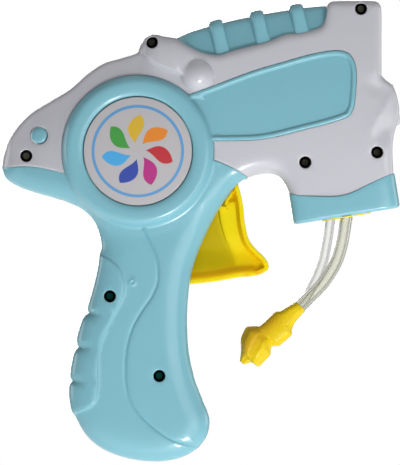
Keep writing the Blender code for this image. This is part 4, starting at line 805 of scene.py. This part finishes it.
def wallReach(p, depth, floorSpots):  # how near the middle plane each edge's wall goes
    x, z = p.T
    reach = depth - seams["wall"]
    onEdge = distanceTo(p, bodyLine) < side["onEdge"]
    reach[onEdge] = side["parting"]
    inSlot = (x > triggerSlot["back"]) & (x < triggerSlot["front"])
    inSlot &= (z > triggerSlot["low"]) & (z < triggerSlot["high"])
    reach[onEdge & inSlot] = triggerSlot["half"]
    bore = 1 - ((z - mouth["at"][1]) / mouth["radius"]) ** 2
    front = onEdge & (x > mouth["from"]) & (bore > 0)
    reach[front] = mouth["radius"] * np.sqrt(bore[front]) + side["parting"]
    for at in floorSpots:
        reach[fromSpot(p, at) < wells["radius"] + wells["slack"]] = wells["floor"]
    return np.minimum(reach, depth - seams["least"])


def shellHalf(name, flat, triangles, depth, holes, floorSpots, sign):  # height field and walls of one side
    for at, radius in holes:
        triangles = triangles[fromSpot(flat[triangles].mean(1), at) > radius]
    rim = openEdges(triangles, len(flat))
    around = np.unique(rim)
    row = np.full(len(flat), -1)
    row[around] = len(flat) + np.arange(len(around))
    reach = wallReach(flat[around], depth[around], floorSpots)
    inwards = np.zeros_like(flat)
    for end in (0, 1):
        np.add.at(inwards, rim[:, end], leftOf(unit(flat[rim[:, 1]] - flat[rim[:, 0]])))
    groove = np.where(reach == side["parting"], side["groove"], 0)  # the halves meet in a small V
    foot = flat[around] + unit(inwards[around], 1e-9) * groove[:, None]
    verts = np.vstack([atDepth(flat, sign * depth), atDepth(flat[around], sign * (reach + groove)),
                       atDepth(foot, sign * reach)])
    first, second = row[rim].T
    walls = np.vstack([np.stack([rim[:, 1], rim[:, 0], first, second], 1),
                       np.stack([second, first, first + len(around), second + len(around)], 1)])
    if sign > 0:
        triangles, walls = triangles[:, ::-1], walls[:, ::-1]
    piece = meshPiece(name, verts, triangles.tolist() + walls.tolist(), 40)
    thicken(piece, -1)
    return piece


edgeRows = [closed(inset(bodyLoop[::-1], d)) for d in side["rows"]]
padLine = smoothRun(palm["line"])
padLoop = np.vstack([padLine, palm["behind"]])
grooveLine = smoothRun(palm["groove"])
underRing = arcAt(disc["at"], disc["radius"] - disc["tuck"], disc["right"][0], disc["top"][1])
panelLoop = np.vstack([seamRuns["panel"], underRing])
gap = seams["gap"]
whiteSeams = [alongside(seamRuns["jaw"], gap), arcAt(disc["at"], disc["radius"] + gap, *disc["top"]),
              alongside(seamRuns["panel"], gap), arcAt(disc["at"], disc["radius"] + gap, *disc["right"]),
              alongside(seamRuns["lower"], gap), alongside(collarSeam, gap)]
tealSeams = [seamRuns["jaw"], seamRuns["lower"]]
topRuns = ("noseTop", "ear", "railSeat", "tower", "front")
gripRuns = ("triggerEdge", "foot", "lowPad", "midPad", "highPad", "topPad", "jaw")
whiteLoop = joined(*[runs[name] for name in topRuns], whiteSeams[5][::-1], runs["arch"],
                   *[line[::-1] for line in whiteSeams[4::-1]])
tealLoop = joined(seamRuns["jaw"], discTop, seamRuns["panel"], discRight, seamRuns["lower"],
                  *[runs[name] for name in gripRuns])


def wellRings(spots):
    return [ringAt(at, wells["radius"] + d, 0.45) for at in spots for d in wells["rows"]]


def makePair(name, node, slot, loop, lines, depthOf, spots, holes=()):  # wells on the right side only
    flat, triangles = triangulated(loop, lines, shellGrid["pitch"])
    depth = depthOf(flat)
    for sideName, sign, deep in (("Right", -1, spots), ("Left", 1, [])):
        cuts = [(at, wells["radius"]) for at in deep] + list(holes)
        piece = shellHalf(name + sideName, flat, triangles, depth, cuts, deep, sign)
        finishPiece(piece, slot, [node + sideName.lower()])
    print(name, "pair:", len(triangles), "triangles a side")


def makeShells():
    ridge = smoothRun(dome["ridge"])
    lines = edgeRows + [alongside(line, d) for line in whiteSeams for d in seams["rows"]]
    lines += [ringAt(dome["at"], dome["wide"] * share, 0.7, dome["tall"]) for share in dome["rows"]]
    lines += [alongside(ridge, d) for d in dome["ridgeRows"]] + wellRings(wells["body"])
    lines += [ringAt(eye["at"], eye["radius"] + d, 0.5) for d in eye["rows"]]
    makePair("whiteShell", "body_shell_", "white_plastic", whiteLoop, lines, whiteDepth, wells["body"],
             [(eye["at"], eye["radius"])])

    lines = edgeRows + [alongside(line, -d) for line in tealSeams for d in seams["rows"]]
    lines += [ringAt(disc["at"], radius, 1.0) for radius in disc["rows"]]
    lines += [alongside(seamRuns["panel"], -d) for d in panel["rows"]]
    lines += [alongside(padLine, -d) for d in palm["stepRows"]]
    lines += [alongside(grooveLine, d) for d in palm["grooveRows"]]
    lines += [alongside(evenly(notch, 0.7), d) for notch in palm["notches"] for d in palm["notchRows"]]
    lines += [ringAt(palm["dot"], d, 0.4) for d in palm["dotRows"]] + wellRings(wells["grip"])
    makePair("gripShell", "grip_shell_", "teal_plastic", tealLoop, lines, tealDepth, wells["grip"])


makeShells()


# muzzle lip and nozzle, turned about the muzzle's axis

muzzle = {
    "lip": [(7.6, -3.0), (7.6, 3.4), (7.7, 4.3), (8.0, 4.8), (8.4, 4.8), (8.8, 4.3), (9.1, 3.4), (9.2, 2.0),
        (9.2, -3.0), (7.6, -3.0)],
    "nozzle": [(6.0, -16.0), (7.3, -16.0), (7.3, 2.6), (7.1, 3.1), (6.6, 3.3), (6.15, 3.0), (6.0, 2.6),
        (6.0, -16.0)],
}
muzzleFrame = (Matrix.Translation((mouth["at"][0], 0, mouth["at"][1]))
               @ Matrix.Rotation(math.pi / 2 - math.radians(mouth["tilt"]), 4, "Y"))


def makeMuzzle():
    lip = spunPiece("muzzleLip", smoothRun(muzzle["lip"], 0.6), muzzleFrame, 96, 60)
    finishPiece(lip, "white_plastic")
    nozzle = spunPiece("bubbleNozzle", muzzle["nozzle"], muzzleFrame, 64)
    finishPiece(nozzle, "yellow_plastic", ["bubble_nozzle"])


makeMuzzle()
print("muzzle made")


# labels and eye caps

label = {
    "radius": 23.2, "back": 20.5, "front": 21.35, "edge": 0.35, "card": (0.465, 0.450, 0.465),
    "cardShade": (0.435, 0.424, 0.437), "ringAt": 19.2, "ringEdge": (0.70, 0.55),
    "ringColour": (0.10, 0.30, 0.58), "turned": 1.04, "twist": 0.035, "petalFrom": 3.4, "petalTo": 15.6,
    "petalWide": 0.0098, "petalEdge": 0.012,
    "colours": [(0.47, 0.02, 0.03), (0.70, 0.22, 0.02), (0.62, 0.40, 0.03), (0.05, 0.30, 0.05),
        (0.06, 0.36, 0.70), (0.03, 0.06, 0.35), (0.42, 0.02, 0.20)],
    "stopEarly": 0.02, "gloss": (0.26, 0.44), "relief": 0.06,
}


def sideFrame(at, sign):  # frame at (x, z) whose Z axis points out of the side
    return Matrix.Translation((at[0], 0, at[1])) @ Matrix.Rotation(-sign * math.pi / 2, 4, "X")


def labelPrint():  # white card, a thin ring and a wheel of petals, from the angle and radius round its middle
    material, tree, shader = plainTree("labelPrint")
    count = len(label["colours"])

    def sums(kind, *values):
        return mathNode(tree, kind, *values)

    def between(value, low, high):  # a socket brought to 0 at low and 1 at high
        node = newNode(tree, "MapRange", {"From Min": low, "From Max": high})
        tree.links.new(value, node.inputs["Value"])
        return node

    split = newNode(tree, "SeparateXYZ")
    link(tree, newNode(tree, "TexCoord"), "Object", split, 0)
    x = sums("MULTIPLY", split.outputs["X"], 1 / mm)
    z = sums("MULTIPLY_ADD", split.outputs["Z"], 1 / mm, -disc["at"][1])
    radius = sums("SQRT", sums("ADD", sums("MULTIPLY", x, x), sums("MULTIPLY", z, z)))
    turn = sums("FRACT", sums("MULTIPLY_ADD", sums("ARCTAN2", z, x), 0.5 / math.pi, label["turned"]))
    petal = sums("MULTIPLY_ADD", radius, label["twist"], sums("MULTIPLY", turn, float(count)))
    middle = sums("ABSOLUTE", sums("SUBTRACT", sums("FRACT", petal), 0.5))
    beyond, within = sums("SUBTRACT", radius, label["petalFrom"]), sums("SUBTRACT", label["petalTo"], radius)
    reach = sums("MULTIPLY", sums("MULTIPLY", beyond, within), label["petalWide"])
    shape = sums("SUBTRACT", reach, middle)
    petals = between(shape, -label["petalEdge"], label["petalEdge"])
    wheel = newNode(tree, "ValToRGB")
    wheel.color_ramp.interpolation = "CONSTANT"
    tree.links.new(sums("FRACT", sums("MULTIPLY", sums("FLOOR", petal), 1 / count)), wheel.inputs["Fac"])
    stops = wheel.color_ramp.elements
    stops.remove(stops[1])
    for k, colour in enumerate(label["colours"]):
        stop = stops.new(k / count - label["stopEarly"]) if k else stops[0]
        stop.color = (*colour, 1)
    ring = between(sums("ABSOLUTE", sums("SUBTRACT", radius, label["ringAt"])), *label["ringEdge"])
    grain = addGrain(tree)
    card = mixColour(tree, label["card"], label["cardShade"], grain, "Tint")
    ringed = mixColour(tree, card, label["ringColour"], ring, "Result")
    printed = mixColour(tree, ringed, wheel.outputs["Color"], petals, "Result")
    tree.links.new(printed, shader.inputs["Base Color"])
    addGloss(tree, shader, grain, label["gloss"])
    addRelief(tree, shader, grain, label["relief"])
    return material


labelCard = labelPrint()


def makeTrim(sign, sideName):
    back, front, radius = label["back"], label["front"], label["radius"]
    card = rounded([(0, back), (radius, back), (radius, front), (0, front)], label["edge"])
    piece = spunPiece("sideLabel" + sideName, card, sideFrame(disc["at"], sign), 128)
    finishPiece(piece, "label_card", ["side_label_" + sideName.lower()], finish=labelCard)
    level, right, up = noseDepth(np.array(eye["at"]) + [(0, 0), (1, 0), (0, 1)])
    out = Vector(((level - right) / 2, sign, (level - up) / 2))  # leans half as far as the slope
    place = Matrix.Translation((eye["at"][0], sign * level, eye["at"][1]))
    place = place @ out.to_track_quat("Z", "X").to_matrix().to_4x4()
    radius, crown = eye["capRadius"], eye["crown"]
    shoulder = (radius * eye["shoulder"][0], crown * eye["shoulder"][1])
    cap = [(0, eye["back"]), (radius, eye["back"]), (radius, eye["brim"]), shoulder, (0, crown)]
    piece = spunPiece("eyeCap" + sideName, rounded(cap, eye["round"]), place, 48, 60)
    finishPiece(piece, "teal_plastic", ["eye_cap_" + sideName.lower()])


makeTrim(-1, "Right")
makeTrim(1, "Left")
print("labels and eyes made")


# ribbed top rail: an arched section carried forwards, with leaning ribs

rail = {
    "top": [(16.0, 129.4), (22.4, 132.3), (30.1, 134.6), (41.7, 137.5), (53.3, 139.9), (65.4, 141.9),
        (74.8, 143.1), (81.5, 143.6)],
    "half": 14.7, "from": 15.6, "to": 81.4, "sink": 1.2, "leastHigh": 0.8, "lean": 0.26, "rows": 260,
    "section": [(1.0, 0.0), (0.74, 0.93), (0.58, 1.0), (0.0, 1.02)],
    "ribSection": [(1.04, 0.0), (1.02, 0.84), (0.86, 1.0), (0.0, 1.02)],
    "ribs": [33.1, 50.7, 67.7], "ribHalf": 3.0, "ribProud": 2.0, "ribPower": 3.2,
}


def archShares(corners, soft=0.16, steps=32):  # a softened half section, mirrored to a whole arch
    half = cutInto(rounded(corners, soft), steps)
    return np.vstack([half, half[-2::-1] * (-1, 1)]).T


def makeRail():  # the rail's arch, mixed with a fuller arch where a round-edged rib leans across
    x = np.linspace(rail["from"], rail["to"], rail["rows"])[:, None]
    base = np.interp(x, *runs["railSeat"].T) - rail["sink"]
    high = np.maximum(np.interp(x, *smoothRun(rail["top"]).T) - base, rail["leastHigh"])
    (wide, tall), (ribWide, ribTall) = archShares(rail["section"]), archShares(rail["ribSection"])
    level = high * tall
    forward = x + rail["lean"] * (level - high)
    away = np.min([np.abs(forward - at) for at in rail["ribs"]], axis=0) / rail["ribHalf"]
    rib = np.clip(1 - away ** rail["ribPower"], 0, 1) ** (1 / rail["ribPower"])
    across = rail["half"] * mixed(wide, ribWide, rib)
    level = mixed(level, (high + rail["ribProud"]) * ribTall, rib)
    piece = loftPiece("ribbedRail", np.stack([x * np.ones_like(level), across, base + level], -1), smooth=50)
    finishPiece(piece, "teal_plastic", ["top_rail"])


makeRail()
print("rail made")


# bottle collar with its socket, and the tube plug in it

def boxLoop(halfX, halfY, corner, count=120, oval=2, squarer=9):  # rounded rectangle, points by angle
    turn = wholeTurn(count)
    c, s = np.cos(turn), np.sin(turn)
    power = oval + squarer * (1 - corner / min(halfX, halfY))
    size = (np.abs(c / halfX) ** power + np.abs(s / halfY) ** power) ** (-1 / power)
    return np.stack([c * size, s * size], 1)


def makeCollar():
    outer = boxLoop(collar["half"], collar["deep"], collar["corner"])
    out = unit(outer)
    wall, edge, rim = collar["wall"], collar["edge"], collar["rim"]

    def seamUp(points):  # height in the collar's frame at which each upright meets the seam
        world = points[:, 0] * math.cos(collarTurn) + collar["at"][0]
        up = np.full(len(points), collar["seamGuess"])
        for _ in range(6):
            x = world - up * math.sin(collarTurn)
            seam = np.interp(x, *collarSeam.T) + collar["seamRise"] * np.maximum(x - collarSeam[-1, 0], 0)
            up = (seam - collar["at"][1] - points[:, 0] * math.sin(collarTurn)) / math.cos(collarTurn)
        return up

    top, topEdge = seamUp(outer), collar["topEdge"]
    level = 0 * top
    turn = np.linspace(0, math.pi / 2, 5)
    rows = [(outer - out * wall, top - collar["tuck"]), (outer - out * wall, top)]
    rows += [(outer - out * topEdge * (1 - math.sin(t)), top - topEdge * (1 - math.cos(t))) for t in turn]
    rows += [(outer, top * share + (rim + edge) * (1 - share)) for share in (0.75, 0.5, 0.25)]
    rows += [(outer - out * edge * (1 - math.cos(t)), rim + edge * (1 - math.sin(t)) + level) for t in turn]
    socket, floor, floorEdge = collar["socket"], collar["socketDeep"], collar["floorEdge"]
    rows += [(out * (socket + wider), rim + up + level) for wider, up in collar["lip"]]
    floorRows = ((socket, floor - floorEdge), (socket - floorEdge, floor), (plug["collarHole"], floor))
    rows += [(out * radius, up + level) for radius, up in floorRows]
    local = np.stack([np.concatenate([points, up[:, None]], 1) for points, up in rows])
    piece = loftPiece("bottleCollar", placed(local, collarFrame), capped=False, smooth=40, turned=False)
    thicken(piece, 1)
    finishPiece(piece, "teal_plastic", ["bottle_collar"])
    r, down, neck, high = plug["radius"], -plug["proud"], plug["neck"], plug["top"]
    wide = r + plug["flange"]
    profile = rounded([(0, down), (r, down), (r, neck), (wide, neck), (wide, high), (0, high)], plug["edge"])
    piece = spunPiece("tubePlug", profile, collarFrame)
    finishPiece(piece, "yellow_plastic", ["tube_plug"])


makeCollar()
print("collar and plug made")


# trigger: a rim along its front and under edges, round a sunk web with a step

trigger = {
    "front": [(42.6, 68.0), (44.2, 62.6), (45.3, 56.8), (46.0, 49.9), (47.7, 43.2), (50.7, 39.1),
        (54.2, 35.7), (56.0, 32.7), (55.8, 30.2), (52.9, 28.4), (49.0, 27.4)],
    "under": [(49.0, 27.4), (43.0, 26.9), (35.3, 25.5), (27.9, 24.5), (22.4, 24.0), (15.5, 23.6)],
    "inside": [(15.5, 23.6), (17.5, 38.0), (22.5, 52.0), (30.0, 67.0), (34.0, 75.5), (40.0, 75.5),
        (42.6, 68.0)],
    "half": 7.5, "web": 3.0, "lowWeb": 5.7, "lowSpan": (40.0, 27.0), "hidden": 1.6,
    "hiddenSpan": (14.4, 12.9), "edge": 0.55, "rim": 1.7, "frontFlank": 1.6, "underFlank": 3.6,
    "rimTop": (67.9, 66.5), "pin": (37.0, 73.1),
    "step": [(34.4, 57.6), (35.7, 49.5), (37.8, 43.0), (40.9, 36.6), (42.4, 31.0)], "stepHigh": 0.9,
    "stepSoft": (-0.3, 0.3), "stepSpan": (34.0, 46.0),
    "rib": [(43.1, 66.6), (40.5, 63.2), (38.0, 59.8)],
    "ledge": [(34.2, 57.3), (37.9, 56.7)], "ribHalf": 0.7, "ribSoft": 0.25, "ribHigh": 6.4, "pitch": 1.4,
    "rimRows": (0.12, 0.3, 0.55, 1.0, 1.5, 1.9, 2.4, 2.9, 3.4, 4.1, 4.8, 5.4),
    "stepRows": (-0.35, 0.0, 0.35), "ribRows": (-0.95, -0.7, -0.45, 0.0, 0.45, 0.7, 0.95),
}
# bands of painted shade along the trigger's flanks and towards its toe
amberPaintedShadeLook = {
    "under": ((6.5, 3.6), (1.3, 2.2)), "front": ((4.0, 2.6), (1.2, 2.0)), "frontShare": 0.8,
    "toe": ((46.0, 30.0), (34.0, 48.0), (1.2, 2.2)), "toeShare": 0.45,
}
# where painted shade darkens the sunk web behind the step
oliveWebShadeLook = {"step": (1.5, -1.5), "rim": (1.5, 3.0)}


def makeTrigger():  # height field: a flat rim, flanks falling to the web, a step and bars across it
    front, under = smoothRun(trigger["front"], 0.7), smoothRun(trigger["under"], 0.9)
    rimLine = np.vstack([front[:-1], under])
    loop = joined(front, under, evenly(trigger["inside"], 1.5))
    stepLine = smoothRun(trigger["step"], 0.8)
    bars = smoothRun(trigger["rib"], 0.6), evenly(trigger["ledge"], 0.6)
    lines = [alongside(rimLine, -d) for d in trigger["rimRows"]]
    lines += [alongside(stepLine, d) for d in trigger["stepRows"]]
    lines += [alongside(bar, d) for bar in bars for d in trigger["ribRows"]]
    flat, triangles = triangulated(loop, lines, trigger["pitch"])
    x, z = flat.T

    def pastStep(x, z):  # how far each point lies in front of the step
        return x - np.interp(z, stepLine[::-1, 1], stepLine[::-1, 0])

    step = ease(*trigger["stepSoft"], pastStep(x, z)) * ease(*trigger["stepSpan"], z)
    web = mixed(trigger["web"] + trigger["stepHigh"] * step, trigger["lowWeb"], ease(*trigger["lowSpan"], z))
    fromPin = fromSpot(flat, trigger["pin"])
    web = mixed(web, trigger["hidden"], ease(*trigger["hiddenSpan"], fromPin))
    fromBar = np.minimum(*[distanceTo(flat, bar) for bar in bars])
    barEdge = (trigger["ribHalf"] + trigger["ribSoft"], trigger["ribHalf"] - trigger["ribSoft"])
    web = np.maximum(web, trigger["ribHigh"] * ease(*barEdge, fromBar))
    rim, edge = trigger["rim"], trigger["edge"]
    fromFront, fromUnder = distanceTo(flat, front), distanceTo(flat, under)
    wall = np.maximum(ease(rim + trigger["frontFlank"], rim, fromFront),
                      ease(rim + trigger["underFlank"], rim, fromUnder))
    near = fade(np.minimum(fromFront, fromUnder), edge)
    crown = trigger["half"] - edge * (1 - np.sqrt(1 - near ** 2))
    depth = web + np.maximum(crown - web, 0) * wall * ease(*trigger["rimTop"], z)
    count = len(flat)
    start, stop = openEdges(triangles, count).T
    walls = np.stack([stop, start, start + count, stop + count], 1)
    verts = np.vstack([atDepth(flat, y) for y in (-depth, 0 * x, depth, 0 * x)])
    faces = triangles.tolist() + walls.tolist()
    faces += (triangles[:, ::-1] + 2 * count).tolist() + (walls[:, ::-1] + 2 * count).tolist()
    piece = meshPiece("pullTrigger", verts, faces, 40)
    finishPiece(piece, "yellow_plastic", ["trigger"], "trigger")

    def amberPaintedShade(x, z):  # painted shade: deeper orange along the foot of the flanks and towards the trigger's toe, where the recess lies in shade
        p = np.stack([x, z], 1)
        low, ahead = distanceTo(p, under), distanceTo(p, front)
        lowBand, frontBand = [ease(*far, away) * ease(*close, away) for (far, close), away in
                              ((amberPaintedShadeLook["under"], low), (amberPaintedShadeLook["front"], ahead))]
        down, forward, inside = amberPaintedShadeLook["toe"]
        toe = ease(*down, z) * ease(*forward, x) * ease(*inside, np.minimum(low, ahead))
        return np.max([lowBand, amberPaintedShadeLook["frontShare"] * frontBand, amberPaintedShadeLook["toeShare"] * toe], axis=0)

    def oliveWebShade(x, z):  # painted shade: darker olive on the more deeply sunk web behind the step
        fromRim = distanceTo(np.stack([x, z], 1), rimLine)
        return ease(*oliveWebShadeLook["step"], pastStep(x, z)) * ease(*oliveWebShadeLook["rim"], fromRim)

    paint(piece, "amberPaintedShade", amberPaintedShade)
    paint(piece, "oliveWebShade", oliveWebShade)


makeTrigger()
print("trigger made")


# light and floor; each lamp has its name, place, size and watts

studio = {
    "floorAt": -900.0, "floorHalf": 2600.0, "floorGlow": 0.42, "ambient": 0.25, "aim": (26, 0, 60),
    "lamps": [("key", (420, -1150, -760), (80, 60), 6.2), ("keyTwin", (460, -1150, -860), (80, 40), 3.1),
        ("front", (200, -2200, -350), (1300, 900), 1.6), ("side", (300, -460, -40), (300, 300), 0.68),
        ("under", (120, -520, -850), (1500, 700), 2.2), ("top", (0, 150, 1500), (1200, 900), 3.0),
        ("back", (-300, 2200, 200), (1300, 900), 19.0), ("left", (-1900, 500, 200), (900, 900), 7.0),
        ("right", (1900, 500, 200), (900, 900), 7.0)],
}
white = (1, 1, 1, 1)


def paleFloor():  # matt card lit from beneath, clear from below
    material = mouldedPlastic("paleFloor", (0.86, 0.86, 0.86), (0.84, 0.84, 0.84), (0.6, 0.7), wearAndHighlight=False)
    tree = material.node_tree
    shader = tree.nodes["Principled BSDF"]
    setInputs(shader, {"Emission Color": white, "Emission Strength": studio["floorGlow"]})
    clear = newNode(tree, "BsdfTransparent")
    mixShaders(tree, newNode(tree, "NewGeometry"), "Backfacing", shader, clear, "Material Output")
    return material


def makeStudio():
    scene = bpy.context.scene
    scene.view_settings.view_transform = "Standard"
    world = bpy.data.worlds.new("studio")
    scene.world = world
    world.use_nodes = True
    tree = world.node_tree
    ambient = tree.nodes["Background"]
    setInputs(ambient, {"Color": white, "Strength": studio["ambient"]})
    seen = newNode(tree, "Background", {"Color": white, "Strength": 1.0})
    rays = newNode(tree, "LightPath")
    direct = newNode(tree, "Math")
    direct.operation = "MAXIMUM"
    link(tree, rays, "Is Camera Ray", direct, 0)
    link(tree, rays, "Is Transmission Ray", direct, 1)
    mixShaders(tree, direct, "Value", ambient, seen, "World Output")
    half, level = studio["floorHalf"], studio["floorAt"]
    corners = [(-half, -half, level), (half, -half, level), (half, half, level), (-half, half, level)]
    floor = meshPiece("floor", corners, [(0, 1, 2, 3)])
    floor.data.materials.append(paleFloor())
    for name, at, size, power in studio["lamps"]:
        data = bpy.data.lights.new(name, "AREA")
        data.shape = "RECTANGLE"
        data.size, data.size_y = size[0] * mm, size[1] * mm
        data.energy = power
        lamp = bpy.data.objects.new(name, data)
        lamp.location = Vector(at) * mm
        lamp.visible_camera = lamp.visible_transmission = False
        lamp.rotation_euler = (Vector(studio["aim"]) - Vector(at)).to_track_quat("-Z", "Y").to_euler()
        scene.collection.objects.link(lamp)


makeStudio()
print("studio lit")
